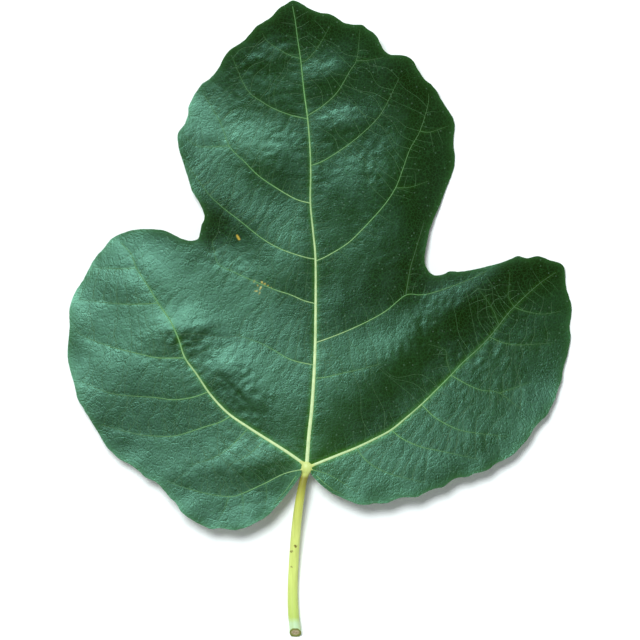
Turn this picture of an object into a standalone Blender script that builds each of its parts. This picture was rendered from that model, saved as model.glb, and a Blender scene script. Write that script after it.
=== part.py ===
import math

import bmesh
import bpy
import numpy as np
from mathutils import Vector
from mathutils.geometry import delaunay_2d_cdt

# A fig leaf that lies on a surface with its upper side up. Lengths are in millimetres until the end.
# The plan is drawn from the hub, where the stalk enters the blade. The tip points along +Y.

BLADE_THICK = 0.7
EDGE_STEP = 2.6
VEIN_STEP = 4.0
FIELD_STEP = 4.3
FIELD_CLEAR = 2.0
RIB_GAP = 0.32
RIB_TO_EDGE = 4.0
RIB_ROOM = 0.3
RIB_LOWEST = 0.2
MERGE_DISTANCE = 0.00003
RIDGE_HALF_WIDTH = 0.9
RIDGE_HEIGHT = 0.35
STALK_SIDES = 16
STALK_STEP = 4.0
KNOB_RADII = (1.6, 2.1, 1.55)
KNOB_CENTRE = (0.0, 0.4)
FOOT_LENGTH = 12.0
FOOT_CUT = 0.16

# the side lobes droop, the tip and foot of the blade rise, and this plane sets its low points on the surface
FORM_BASE = 6.0
SIDE_DROOP = 5.6
END_RISE = 3.6
FORM_CENTRE = (4.0, 50.0)
FORM_REACH = (85.0, 100.0)
LEVEL_SHIFT = 1.0657
LEVEL_SLOPE_X = 0.007533
LEVEL_SLOPE_Y = -0.03402

# edge of the blade, counter-clockwise, with its rounded teeth
HUB_NOTCH = [(-2.5, -2.3), (-2.4, -0.4), (-2.1, 1.5), (-1.0, 2.9), (0.9, 2.9), (2.1, 1.5),
             (2.3, -0.3), (2.1, -2.0)]
RIGHT_LOWER_EDGE = [(3.5, -4.2), (6.2, -6.7), (8.8, -8.5), (12.8, -10.3), (16.5, -11.8), (19.8, -12.2),
                    (22.8, -11.7), (26.5, -11.7), (28.8, -10.7), (31.5, -9.8), (34.8, -9.7),
                    (37.2, -9.5), (39.2, -8.3), (42.5, -6.9), (45.5, -6.3), (47.5, -4.7), (50.2, -3.2),
                    (53.5, -3.0), (55.8, -1.9), (58.8, -1.2), (61.2, -0.2), (62.8, 1.3), (65.8, 2.7),
                    (69.2, 4.7), (71.2, 6.8), (73.5, 9.3), (75.5, 12.5), (77.5, 15.0), (80.2, 17.5),
                    (81.2, 19.5), (83.0, 23.0), (84.0, 26.3), (85.2, 29.3), (85.7, 32.7), (86.8, 36.5),
                    (87.8, 40.3), (88.3, 44.0), (88.0, 47.0), (88.4, 50.3), (88.7, 53.7), (87.8, 57.0),
                    (86.8, 60.3), (86.5, 63.7), (86.2, 66.7)]
RIGHT_UPPER_EDGE = [(84.7, 68.4), (81.5, 69.3), (78.8, 70.4), (76.5, 70.7), (73.5, 70.1), (70.3, 70.8),
                    (67.8, 69.7), (63.8, 68.3), (59.5, 67.2), (55.2, 66.2), (51.5, 65.6), (47.8, 65.7),
                    (45.8, 64.8)]
RIGHT_SINUS = [(43.2, 64.3), (41.0, 65.5), (39.8, 67.7), (39.5, 70.5), (40.2, 74.5), (41.2, 79.2),
               (42.7, 83.3), (44.7, 87.7), (46.3, 92.0), (48.0, 96.2)]
CENTRE_RIGHT_EDGE = [(49.3, 100.0), (49.7, 103.7), (49.2, 107.3), (49.3, 110.7), (49.6, 114.0),
                     (49.0, 117.0), (47.3, 119.5), (45.2, 122.7), (43.5, 125.7), (41.7, 127.9),
                     (39.3, 129.8), (37.2, 133.0), (35.5, 135.8), (33.3, 137.3), (30.8, 137.6),
                     (28.2, 137.7), (26.2, 138.8), (24.5, 141.7), (23.2, 144.2), (20.7, 146.0),
                     (18.7, 147.5), (15.8, 147.7), (12.8, 148.2), (10.5, 149.7), (7.8, 151.2),
                     (4.8, 151.6), (1.5, 152.7), (-1.5, 154.5), (-4.5, 155.7)]
CENTRE_LEFT_EDGE = [(-6.8, 154.5), (-9.5, 152.8), (-11.7, 150.3), (-14.0, 148.7), (-16.5, 147.3),
                    (-18.8, 144.8), (-20.7, 142.6), (-23.2, 140.9), (-25.7, 139.3), (-27.7, 136.7),
                    (-29.5, 133.2), (-32.2, 130.0), (-34.8, 128.2), (-36.7, 125.8), (-38.5, 122.5),
                    (-39.5, 120.3), (-39.7, 117.7), (-40.7, 114.8), (-42.7, 112.2), (-43.1, 110.2),
                    (-42.7, 106.7), (-41.5, 102.7), (-39.8, 97.5), (-38.2, 92.3), (-36.0, 88.7)]
LEFT_SINUS = [(-34.5, 85.5), (-34.1, 83.2), (-35.0, 81.2), (-35.6, 78.7), (-36.2, 76.6), (-38.0, 75.9),
              (-40.8, 76.3), (-43.8, 77.6)]
LEFT_EDGE = [(-47.2, 79.2), (-52.2, 79.8), (-57.2, 79.6), (-61.8, 78.3), (-65.2, 76.5), (-67.5, 73.7),
             (-70.5, 70.3), (-72.8, 66.5), (-74.7, 62.7), (-77.0, 59.3), (-78.5, 56.0), (-79.3, 51.7),
             (-79.2, 46.7), (-79.7, 41.0), (-79.8, 37.0), (-79.0, 32.7), (-77.5, 27.7), (-76.5, 23.3),
             (-74.2, 19.3), (-72.0, 15.7), (-69.7, 12.0), (-66.8, 7.2), (-64.5, 4.8), (-62.2, 2.8)]
LEFT_BASE_EDGE = [(-58.8, 1.1), (-55.8, -1.0), (-53.7, -3.1), (-50.2, -4.7), (-47.8, -7.0),
                  (-45.8, -9.5), (-43.5, -11.7), (-41.8, -14.5), (-38.8, -16.8), (-35.2, -18.8),
                  (-31.8, -20.2), (-28.2, -20.0), (-24.2, -20.6), (-20.5, -19.8), (-16.5, -18.0),
                  (-12.8, -15.7), (-9.5, -12.3), (-6.5, -8.8), (-4.0, -5.2)]
EDGE = (HUB_NOTCH + RIGHT_LOWER_EDGE + RIGHT_UPPER_EDGE + RIGHT_SINUS + CENTRE_RIGHT_EDGE
        + CENTRE_LEFT_EDGE + LEFT_SINUS + LEFT_EDGE + LEFT_BASE_EDGE)

# the three main veins, from the hub outwards
MIDRIB = [(0.0, 0.0), (0.3, 4.3), (0.8, 11.0), (1.7, 19.3), (2.3, 27.7), (2.8, 37.7), (3.0, 49.3),
          (3.0, 69.0), (2.2, 78.7), (1.3, 88.3), (1.4, 97.7), (1.2, 106.0), (0.4, 116.3), (-0.8, 125.3),
          (-1.9, 135.7), (-3.0, 143.3), (-3.8, 149.3), (-4.6, 153.6)]
LEFT_MAIN = [(-0.6, 0.6), (-5.8, 5.3), (-13.5, 10.5), (-19.3, 13.7), (-25.1, 17.5), (-28.9, 21.0),
             (-32.7, 25.5), (-36.5, 31.2), (-40.5, 36.8), (-42.5, 42.7), (-45.5, 49.3), (-49.5, 55.0),
             (-52.2, 59.7), (-56.7, 66.7), (-58.5, 71.3), (-61.8, 75.0)]
RIGHT_MAIN = [(0.6, 0.6), (4.5, 2.2), (10.5, 4.8), (16.5, 6.7), (22.4, 9.6), (28.3, 12.8), (33.1, 16.7),
              (38.3, 21.2), (43.2, 26.0), (48.2, 31.0), (52.2, 35.2), (56.8, 39.3), (61.1, 43.7),
              (64.0, 47.3), (67.0, 51.2), (69.3, 53.7), (74.5, 58.7), (78.8, 62.3), (83.2, 65.2)]
MAIN_VEINS = [MIDRIB, LEFT_MAIN, RIGHT_MAIN]

# side veins, each from its parent vein towards the edge
BASAL_VEINS = [
    [(-0.8, -0.2), (-7.2, -1.7), (-13.5, -4.8), (-21.2, -8.3), (-25.8, -9.4), (-34.0, -8.2),
     (-41.5, -6.1), (-46.2, -4.3)],
    [(0.8, -0.2), (4.5, -1.1), (7.8, -2.3), (12.5, -5.0), (16.8, -8.0)],
    [(-13.5, -4.8), (-13.2, -9.0), (-14.2, -14.0)],
    [(-21.5, -8.4), (-21.0, -12.3), (-21.5, -17.3)],
    [(-25.8, -9.4), (-27.2, -13.3), (-29.5, -17.3)],
]
MIDRIB_LEFT_VEINS = [
    [(2.6, 34.3), (-2.8, 35.4), (-6.5, 36.7), (-10.7, 39.2), (-15.5, 41.7), (-23.5, 44.5)],
    [(2.9, 54.8), (-0.9, 55.8), (-5.5, 57.8), (-10.2, 59.3), (-18.7, 62.8), (-24.8, 65.6),
     (-29.5, 68.2), (-31.5, 75.3)],
    [(2.8, 69.6), (-0.8, 70.3), (-8.2, 72.8), (-14.8, 76.5), (-22.6, 82.7), (-27.8, 86.7),
     (-32.2, 90.8), (-35.8, 95.5), (-39.2, 100.0)],
    [(1.3, 88.2), (-3.8, 89.7), (-10.8, 93.8), (-16.2, 97.6), (-20.6, 102.0), (-25.7, 107.3),
     (-28.8, 115.3), (-34.5, 125.0)],
    [(-25.7, 107.3), (-35.5, 107.1), (-38.8, 109.0), (-42.0, 111.7)],
    [(0.4, 116.3), (-5.3, 117.6), (-10.8, 119.7), (-14.8, 122.0), (-18.9, 125.0), (-21.3, 128.8),
     (-25.0, 137.5)],
    [(-2.0, 136.3), (-6.7, 138.0), (-12.8, 142.0), (-14.8, 145.0)],
]
MIDRIB_RIGHT_VEINS = [
    [(2.4, 29.9), (6.5, 30.3), (10.5, 31.3), (18.2, 33.0), (24.8, 34.8)],
    [(2.9, 41.7), (8.5, 43.7), (14.2, 46.0), (20.6, 49.0), (26.7, 52.5), (33.1, 57.6), (38.1, 57.7),
     (42.7, 58.6), (52.5, 62.1), (60.2, 65.7)],
    [(33.1, 57.6), (34.5, 66.0), (36.2, 72.0), (39.2, 82.0)],
    [(2.9, 68.9), (6.6, 70.5), (13.2, 74.5), (17.8, 78.7), (25.5, 87.1), (29.7, 93.4), (32.2, 99.9),
     (34.5, 106.3), (37.8, 112.3), (40.5, 121.0), (40.7, 124.7)],
    [(29.7, 93.4), (34.5, 93.6), (40.8, 95.7)],
    [(37.8, 112.3), (41.2, 112.0), (47.5, 114.2)],
    [(1.4, 100.7), (5.5, 102.3), (11.0, 105.7), (16.5, 109.7), (22.5, 115.2), (26.0, 120.0),
     (30.8, 129.7)],
    [(0.4, 117.4), (5.5, 120.7), (10.3, 125.3), (14.5, 132.3), (16.8, 136.3), (17.8, 146.0)],
    [(16.5, 135.7), (19.8, 135.7), (25.5, 136.7)],
    [(-1.8, 135.3), (0.2, 136.0), (3.5, 139.7), (8.0, 147.3)],
]
LEFT_LOBE_VEINS = [
    [(-13.8, 10.4), (-16.2, 7.3), (-20.0, 4.1), (-26.3, 1.0)],
    [(-19.3, 13.5), (-23.2, 9.2), (-27.6, 5.4), (-32.7, 2.8), (-38.8, 1.0)],
    [(-25.1, 17.4), (-28.9, 15.3), (-34.0, 13.7), (-43.5, 10.8), (-50.5, 10.7), (-56.8, 11.4),
     (-68.5, 14.5)],
    [(-32.7, 25.4), (-37.8, 23.6), (-44.2, 22.8), (-50.5, 23.5), (-64.6, 24.8), (-74.8, 28.7)],
    [(-40.5, 36.7), (-49.2, 36.7), (-54.2, 37.7), (-65.5, 40.5), (-74.8, 44.2), (-77.5, 47.2)],
    [(-49.5, 54.9), (-56.2, 54.6), (-62.6, 54.7), (-75.7, 56.1)],
    [(-56.7, 66.7), (-62.6, 66.4), (-72.2, 67.0)],
]
RIGHT_LOBE_VEINS = [
    [(16.7, 6.7), (18.7, 3.8), (22.4, 0.7), (28.3, -2.0), (39.2, -4.7)],
    [(28.3, 12.7), (31.8, 9.9), (37.8, 7.2), (44.8, 5.7), (57.2, 3.0)],
    [(38.4, 21.1), (42.6, 17.0), (48.5, 13.7), (53.8, 12.1), (66.4, 10.5)],
    [(48.2, 30.9), (53.3, 28.0), (58.1, 26.0), (64.3, 25.0), (71.2, 19.7)],
    [(64.3, 25.0), (69.8, 26.8), (74.8, 28.7)],
    [(61.1, 43.6), (65.8, 41.7), (71.2, 41.0), (82.2, 41.7)],
    [(69.3, 53.6), (72.8, 52.3), (78.8, 51.3), (84.8, 52.2)],
    [(48.2, 31.1), (46.8, 35.7), (46.2, 39.3), (40.5, 41.3)],
    [(64.2, 47.7), (61.5, 54.0), (55.2, 62.3)],
    [(69.3, 53.8), (67.5, 57.0), (67.8, 65.3)],
]
SIDE_VEINS = BASAL_VEINS + MIDRIB_LEFT_VEINS + MIDRIB_RIGHT_VEINS + LEFT_LOBE_VEINS + RIGHT_LOBE_VEINS

# width and depth of the ribs under the blade, at the hub and at the far end
MAIN_RIB = {"width": (2.4, 0.9), "depth": (2.0, 0.7)}
SIDE_RIB = {"width": (1.1, 0.7), "depth": (1.1, 0.6)}
RIB_SIDE_DEPTH = 0.4

# depth of the fold along each vein at its two ends, how far the fold reaches sideways, and the share
# of its depth that it has at once; the rest comes over the first part of its length
MAIN_FOLD = {"depth": (0.7, 0.35), "reach": 3.5, "lead": 1.0}
SIDE_FOLD = {"depth": (0.16, 0.1), "reach": 2.5, "lead": 0.1}
FOLD_EASE = 0.15

# swells and dents of the blade: centre, reach along and across, turn in degrees, height
SWELLS = [
    (-66.0, -10.0, 32.0, 34.0, 0, 1.8),
    (-58.0, 36.0, 26.0, 15.0, 0, 1.5),
    (-56.0, 64.0, 16.0, 11.0, 0, 1.3),
    (-48.0, 94.0, 10.0, 8.0, 0, 1.4),
    (-45.0, 128.0, 9.0, 8.0, 0, -0.9),
    (-42.0, 46.5, 7.0, 4.2, 8, 1.4),
    (-15.0, 27.0, 13.0, 4.5, -42, 0.5),
    (21.0, 37.0, 18.0, 7.5, 42, 0.85),
    (48.0, 52.0, 25.0, 18.0, 42, -1.0),
    (0.0, 24.0, 20.0, 20.0, 0, 0.8),
    (96.0, 12.0, 14.0, 16.0, 0, 2.4),
    (50.0, 84.0, 8.0, 9.0, 0, -1.2),
    (60.0, 61.0, 14.0, 7.0, 30, 0.9),
    (52.0, -8.0, 36.0, 17.0, 25, 1.8),
    (70.0, 74.0, 22.0, 9.0, 5, 3.0),
    (57.0, 108.0, 13.0, 28.0, 0, -4.0),
    (34.0, 102.0, 12.0, 12.0, 0, 1.1),
    (34.0, 143.0, 18.0, 13.0, -40, 2.2),
    (0.0, 159.0, 26.0, 10.0, 0, 3.0),
    (-30.0, 147.0, 14.0, 10.0, -40, 0.7),
    (-14.0, 104.0, 11.0, 6.5, -15, 0.9),
    (-12.0, 137.0, 7.0, 3.5, 10, 0.4),
    (6.0, 130.0, 7.0, 4.0, 0, 0.8),
    (13.0, 115.0, 7.0, 4.0, 5, 0.7),
    (14.0, 92.0, 11.0, 6.0, 15, 0.3),
    (-6.0, 66.0, 7.0, 8.0, 0, 0.6),
    (-22.0, 82.0, 14.0, 6.0, -32, 0.6),
    (-18.0, 2.0, 13.0, 4.2, 5, 0.5),
    (46.0, 52.0, 7.0, 4.0, 20, 0.6),
    (13.0, 22.0, 7.0, 4.5, 30, 0.4),
]

# the stalk from the hub to its cut end: x, y and radius
STALK = [(0.0, -0.6, 1.4), (-0.5, -2.3, 1.35), (-1.2, -4.7, 1.35), (-1.8, -8.0, 1.45), (-2.5, -12.3, 1.55),
         (-3.5, -20.7, 1.62), (-4.2, -30.7, 1.68), (-4.6, -40.7, 1.75), (-4.4, -48.3, 1.85),
         (-3.9, -52.7, 1.9), (-3.7, -55.2, 2.0), (-3.7, -56.7, 2.0)]
STALK_RISE = 0.9


def smooth_line(points, step, closed=False):
    # a smooth curve through the points, cut into pieces of about one step each
    ends = np.array(points, float)
    count = len(ends)
    spans = count if closed else count - 1
    curve = []
    for i in range(spans):
        if closed:
            before, here, there, after = (ends[(i + k) % count] for k in (-1, 0, 1, 2))
        else:
            here = ends[i]
            there = ends[i + 1]
            before = ends[i - 1] if i > 0 else 2 * here - there
            after = ends[i + 2] if i + 2 < count else 2 * there - here
        pieces = max(1, round(math.dist(here[:2], there[:2]) / step))
        for k in range(pieces):
            t = k / pieces
            curve.append(0.5 * (2 * here + (there - before) * t
                                + (2 * before - 5 * here + 4 * there - after) * t**2
                                + (3 * here - before - 3 * there + after) * t**3))
    if not closed:
        curve.append(ends[-1])
    return np.array(curve)


def nearest_on(line, x, y):
    # distance from each point to a line, and the share of the line's length at the nearest place
    best = np.full(x.shape, 1e9)
    share = np.zeros(x.shape)
    lengths = np.hypot(*np.diff(line[:, :2], axis=0).T)
    done = 0.0
    for start, end, length in zip(line[:-1], line[1:], lengths):
        run_x = end[0] - start[0]
        run_y = end[1] - start[1]
        along = ((x - start[0]) * run_x + (y - start[1]) * run_y) / length**2
        along = np.clip(along, 0.0, 1.0)
        gap = np.hypot(x - start[0] - along * run_x, y - start[1] - along * run_y)
        closer = gap < best
        best = np.where(closer, gap, best)
        share = np.where(closer, (done + along * length) / lengths.sum(), share)
        done += length
    return best, share


def folds(x, y, veins, shape):
    # sharp valleys along the veins, each one easing in where it leaves its parent vein
    deepest = np.zeros(x.shape)
    start, end = shape["depth"]
    for vein in veins:
        gap, share = nearest_on(smooth_line(vein, VEIN_STEP), x, y)
        depth = (start + (end - start) * share) * np.clip(shape["lead"] + share / FOLD_EASE, 0, 1)
        deepest = np.maximum(deepest, depth * np.exp(-gap / shape["reach"]))
    return deepest


def blade_height(x, y):
    # height of the middle of the blade over the surface that the leaf lies on
    off_x = (x - FORM_CENTRE[0]) / FORM_REACH[0]
    off_y = (y - FORM_CENTRE[1]) / FORM_REACH[1]
    z = FORM_BASE - SIDE_DROOP * off_x**2 + END_RISE * off_y**2
    z = z + LEVEL_SHIFT + LEVEL_SLOPE_X * x + LEVEL_SLOPE_Y * y
    z = z - folds(x, y, MAIN_VEINS, MAIN_FOLD) - folds(x, y, SIDE_VEINS, SIDE_FOLD)
    for centre_x, centre_y, along, across, turn, height in SWELLS:
        c = math.cos(math.radians(turn))
        s = math.sin(math.radians(turn))
        u = ((x - centre_x) * c + (y - centre_y) * s) / along
        v = (-(x - centre_x) * s + (y - centre_y) * c) / across
        z = z + height * np.exp(-(u**2 + v**2) / 2)
    return z


def inside(outline, x, y):
    # whether each point lies within a closed outline
    result = np.zeros(x.shape, bool)
    previous = outline[-1]
    for corner in outline:
        spans = (corner[1] > y) != (previous[1] > y)
        rise = previous[1] - corner[1]
        rise = rise if abs(rise) > 1e-12 else 1e-12
        cross = (previous[0] - corner[0]) * (y - corner[1]) / rise + corner[0]
        result ^= spans & (x < cross)
        previous = corner
    return result


def side_lines(line, half_width):
    # the two lines that run beside a line at a given distance, which may change along it
    run = np.gradient(line[:, :2], axis=0)
    run /= np.hypot(run[:, 0], run[:, 1])[:, None]
    across = np.column_stack([-run[:, 1], run[:, 0]])
    width = np.asarray(half_width, float).reshape(-1, 1)
    return line[:, :2] + across * width, line[:, :2] - across * width


def shorten(line, outline, clearance, room=0.0):
    # leaves off the end of a line that comes too near the outline or too near the surface below
    closed = np.vstack([outline, outline[:1]])
    gap, _ = nearest_on(closed, line[:, 0], line[:, 1])
    under = blade_height(line[:, 0], line[:, 1]) - BLADE_THICK / 2 - RIB_GAP
    beyond = ((gap < clearance) | (under < room)) & (np.arange(len(line)) > 2)
    return line[: np.argmax(beyond)] if beyond.any() else line


def add_lines(points, edges, lines, closed=False):
    # collects the points of lines and the edges between them for the triangulation
    for line in lines:
        first = len(points)
        points.extend(Vector((float(p[0]), float(p[1]))) for p in line)
        edges.extend((first + i, first + i + 1) for i in range(len(line) - 1))
        if closed:
            edges.append((len(points) - 1, first))


def body_between(name, plan, triangles, top, bottom):
    # closes two sheets of the same triangles with a wall along their open edges
    count = len(plan)
    points = [(x, y, z) for (x, y), z in zip(plan, top)]
    points += [(x, y, z) for (x, y), z in zip(plan, bottom)]
    faces = []
    uses = {}
    for a, b, c in triangles:
        faces.append((a, b, c))
        faces.append((c + count, b + count, a + count))
        for pair in ((a, b), (b, c), (c, a)):
            uses[pair] = True
    for a, b in uses:
        if (b, a) not in uses:
            faces.append((a, a + count, b + count))
            faces.append((a, b + count, b))
    mesh = bpy.data.meshes.new(name)
    mesh.from_pydata(points, [], faces)
    mesh.validate()
    body = bpy.data.objects.new(name, mesh)
    bpy.context.collection.objects.link(body)
    return body


def counter_clockwise(plan, triangle):
    a, b, c = (plan[i] for i in triangle)
    turn = (b[0] - a[0]) * (c[1] - a[1]) - (b[1] - a[1]) * (c[0] - a[0])
    return tuple(triangle) if turn > 0 else tuple(reversed(triangle))


def make_blade(outline):
    points = [Vector((float(x), float(y))) for x, y in outline]
    face = list(range(len(points)))
    edges = []
    lines = []
    crests = []
    for vein in MAIN_VEINS:
        centre = shorten(smooth_line(vein[1:], VEIN_STEP), outline, 1.2)
        crests.append(centre)
        lines.append(centre)
        lines.extend(side_lines(centre, np.full(len(centre), RIDGE_HALF_WIDTH)))
    for vein in SIDE_VEINS:
        lines.append(shorten(smooth_line(vein, VEIN_STEP)[1:], outline, 1.6))
    lines = [line for line in lines if len(line) > 1]
    add_lines(points, edges, lines)
    fixed = np.array([tuple(p) for p in points])
    rows = int(200 / (FIELD_STEP * math.sqrt(0.75)))
    for row in range(rows):
        y = -24 + row * FIELD_STEP * math.sqrt(0.75)
        for column in range(int(180 / FIELD_STEP)):
            x = -84 + (column + 0.5 * (row % 2)) * FIELD_STEP
            if not inside(outline, np.array([x]), np.array([y]))[0]:
                continue
            if np.hypot(fixed[:, 0] - x, fixed[:, 1] - y).min() > FIELD_CLEAR:
                points.append(Vector((x, y)))
    plan, _, triangles, _, _, _ = delaunay_2d_cdt(points, edges, [face], 1, 1e-4)
    plan = [(p.x, p.y) for p in plan]
    triangles = [counter_clockwise(plan, t) for t in triangles]
    x, y = np.array(plan).T
    middle = blade_height(x, y)
    top = middle + BLADE_THICK / 2
    for crest in crests:
        gap, share = nearest_on(crest, x, y)
        top = top + RIDGE_HEIGHT * (1 - 0.5 * share) * np.clip(1 - gap / RIDGE_HALF_WIDTH, 0, 1)
    return body_between("leaf_blade", plan, triangles, top, middle - BLADE_THICK / 2)


def make_ribs(outline):
    # the ribs under the blade, joined into one flat-topped net that follows its underside
    points = []
    edges = []
    strips = []
    ribs = []
    for veins, shape in ((MAIN_VEINS, MAIN_RIB), (SIDE_VEINS, SIDE_RIB)):
        for vein in veins:
            line = smooth_line(vein, VEIN_STEP)
            centre = shorten(line, outline[len(HUB_NOTCH):], RIB_TO_EDGE, RIB_LOWEST + RIB_ROOM)
            share = np.linspace(0, 1, len(centre))
            width = shape["width"][0] + (shape["width"][1] - shape["width"][0]) * share
            left, right = side_lines(centre, width / 2)
            first = len(points)
            points.extend(Vector(tuple(p)) for p in np.vstack([right, left[::-1]]))
            strips.append(list(range(first, len(points))))
            add_lines(points, edges, [centre])
            ribs.append((centre, shape))
    plan, _, triangles, _, _, owners = delaunay_2d_cdt(points, edges, strips, 0, 0.08)
    plan = [(p.x, p.y) for p in plan]
    triangles = [counter_clockwise(plan, t) for t, owner in zip(triangles, owners) if owner]
    used = sorted({i for t in triangles for i in t})
    place = {old: new for new, old in enumerate(used)}
    plan = [plan[i] for i in used]
    triangles = [tuple(place[i] for i in t) for t in triangles]
    x, y = np.array(plan).T
    top = blade_height(x, y) - BLADE_THICK / 2 - RIB_GAP
    depth = np.full(x.shape, RIB_SIDE_DEPTH)
    for centre, shape in ribs:
        gap, share = nearest_on(centre, x, y)
        half_width = (shape["width"][0] + (shape["width"][1] - shape["width"][0]) * share) / 2
        full = shape["depth"][0] + (shape["depth"][1] - shape["depth"][0]) * share
        here = RIB_SIDE_DEPTH + (full - RIB_SIDE_DEPTH) * np.clip(1 - gap / half_width, 0, 1)
        depth = np.maximum(depth, here)
    return body_between("ribs", plan, triangles, top, np.maximum(top - depth, RIB_LOWEST))


def make_stalk():
    # a round stalk that comes down from the hub and rests on a small flat at its cut end
    hub_height = float(blade_height(np.array([0.0]), np.array([0.0]))[0])
    line = smooth_line(STALK, STALK_STEP)
    run = np.gradient(line[:, :2], axis=0)
    run /= np.hypot(run[:, 0], run[:, 1])[:, None]
    lengths = np.concatenate([[0], np.cumsum(np.hypot(*np.diff(line[:, :2], axis=0).T))])
    free = lengths[-1] - FOOT_LENGTH
    points = []
    for (x, y, radius), (run_x, run_y), length in zip(line, run, lengths):
        drop = min(length / free, 1.0)
        ease = 1 - (1 - drop)**2 * (1 + 2 * drop)
        low = radius - FOOT_CUT
        centre = (hub_height - STALK_RISE) * (1 - ease) + low * ease
        for k in range(STALK_SIDES):
            angle = 2 * math.pi * (k + 0.5) / STALK_SIDES
            across = radius * math.cos(angle)
            z = max(centre + radius * math.sin(angle), 0.0)
            points.append((x - run_y * across, y + run_x * across, z))
    rings = len(line)
    faces = [tuple(reversed(range(STALK_SIDES)))]
    faces.append(tuple((rings - 1) * STALK_SIDES + k for k in range(STALK_SIDES)))
    for ring in range(rings - 1):
        for k in range(STALK_SIDES):
            a = ring * STALK_SIDES + k
            b = ring * STALK_SIDES + (k + 1) % STALK_SIDES
            faces.append((a, b, b + STALK_SIDES, a + STALK_SIDES))
    mesh = bpy.data.meshes.new("leaf_stalk")
    mesh.from_pydata(points, [], faces)
    mesh.validate()
    stalk = bpy.data.objects.new("leaf_stalk", mesh)
    bpy.context.collection.objects.link(stalk)
    return stalk, hub_height


def make_knob(hub_height):
    bpy.ops.mesh.primitive_uv_sphere_add(segments=18, ring_count=10, radius=1.0)
    knob = bpy.context.object
    knob.name = "knob"
    for vertex in knob.data.vertices:
        vertex.co.x = vertex.co.x * KNOB_RADII[0] + KNOB_CENTRE[0]
        vertex.co.y = vertex.co.y * KNOB_RADII[1] + KNOB_CENTRE[1]
        vertex.co.z = vertex.co.z * KNOB_RADII[2] + hub_height - STALK_RISE
    return knob


def face_out(body):
    # turns all faces outwards if the body came out inside out
    mesh = body.data
    mesh.calc_loop_triangles()
    volume = 0.0
    for triangle in mesh.loop_triangles:
        a, b, c = (mesh.vertices[i].co for i in triangle.vertices)
        volume += a.dot(b.cross(c)) / 6
    if volume < 0:
        mesh.flip_normals()


def join_into(body, other):
    modifier = body.modifiers.new("join", "BOOLEAN")
    modifier.operation = "UNION"
    modifier.solver = "EXACT"
    modifier.object = other
    bpy.context.view_layer.objects.active = body
    bpy.ops.object.modifier_apply(modifier=modifier.name)
    bpy.data.objects.remove(other, do_unlink=True)


def finish(body, colour, roughness, shift):
    # moves the body to the middle of the leaf, turns millimetres to metres and colours it
    for vertex in body.data.vertices:
        vertex.co.x = (vertex.co.x - shift[0]) / 1000
        vertex.co.y = (vertex.co.y - shift[1]) / 1000
        vertex.co.z = vertex.co.z / 1000
    work = bmesh.new()
    work.from_mesh(body.data)
    bmesh.ops.remove_doubles(work, verts=work.verts, dist=MERGE_DISTANCE)
    bmesh.ops.dissolve_degenerate(work, edges=work.edges, dist=MERGE_DISTANCE)
    bmesh.ops.triangulate(work, faces=work.faces)
    work.to_mesh(body.data)
    work.free()
    for polygon in body.data.polygons:
        polygon.use_smooth = True
    body.data.set_sharp_from_angle(angle=math.radians(50))
    material = bpy.data.materials.new(body.name)
    material.use_nodes = True
    shader = material.node_tree.nodes["Principled BSDF"]
    shader.inputs["Base Color"].default_value = (*colour, 1.0)
    shader.inputs["Roughness"].default_value = roughness
    shader.inputs["Metallic"].default_value = 0.0
    body.data.materials.clear()
    body.data.materials.append(material)


def build():
    for item in list(bpy.data.objects):
        bpy.data.objects.remove(item, do_unlink=True)
    outline = smooth_line(EDGE, EDGE_STEP, closed=True)
    blade = make_blade(outline)
    ribs = make_ribs(outline)
    stalk, hub_height = make_stalk()
    knob = make_knob(hub_height)
    for body in (blade, ribs, stalk, knob):
        face_out(body)
    join_into(stalk, knob)
    join_into(stalk, ribs)
    corners = np.array([vertex.co for body in (blade, stalk) for vertex in body.data.vertices])
    shift = (corners.min(axis=0) + corners.max(axis=0)) / 2
    print("lowest point", corners[:, 2].min(), "highest", corners[:, 2].max(), "shift", shift)
    finish(blade, (0.045, 0.155, 0.065), 0.45, shift)
    finish(stalk, (0.42, 0.47, 0.14), 0.5, shift)


build()
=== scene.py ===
import math
import random

import bpy
import numpy as np
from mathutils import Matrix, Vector, noise
from mathutils.geometry import delaunay_2d_cdt
from mathutils.kdtree import KDTree


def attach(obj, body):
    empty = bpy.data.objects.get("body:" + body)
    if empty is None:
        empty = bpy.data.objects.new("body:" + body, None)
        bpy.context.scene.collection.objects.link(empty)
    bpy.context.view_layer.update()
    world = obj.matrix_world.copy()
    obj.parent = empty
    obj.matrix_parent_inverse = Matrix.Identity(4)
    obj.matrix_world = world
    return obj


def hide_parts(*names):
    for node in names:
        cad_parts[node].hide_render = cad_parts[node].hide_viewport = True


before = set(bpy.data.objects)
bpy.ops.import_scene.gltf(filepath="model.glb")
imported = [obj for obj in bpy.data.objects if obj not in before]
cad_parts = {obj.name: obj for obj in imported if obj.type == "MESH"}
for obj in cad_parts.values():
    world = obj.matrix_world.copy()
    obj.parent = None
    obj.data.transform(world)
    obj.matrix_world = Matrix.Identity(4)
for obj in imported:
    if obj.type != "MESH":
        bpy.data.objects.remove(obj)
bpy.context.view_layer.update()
bpy.ops.object.select_all(action="DESELECT")
random.seed(7)

# lengths below are millimetres from the hub, where the stalk enters the blade; the tip is along +Y
hubPlace = (-4.4344, -49.5)

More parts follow.
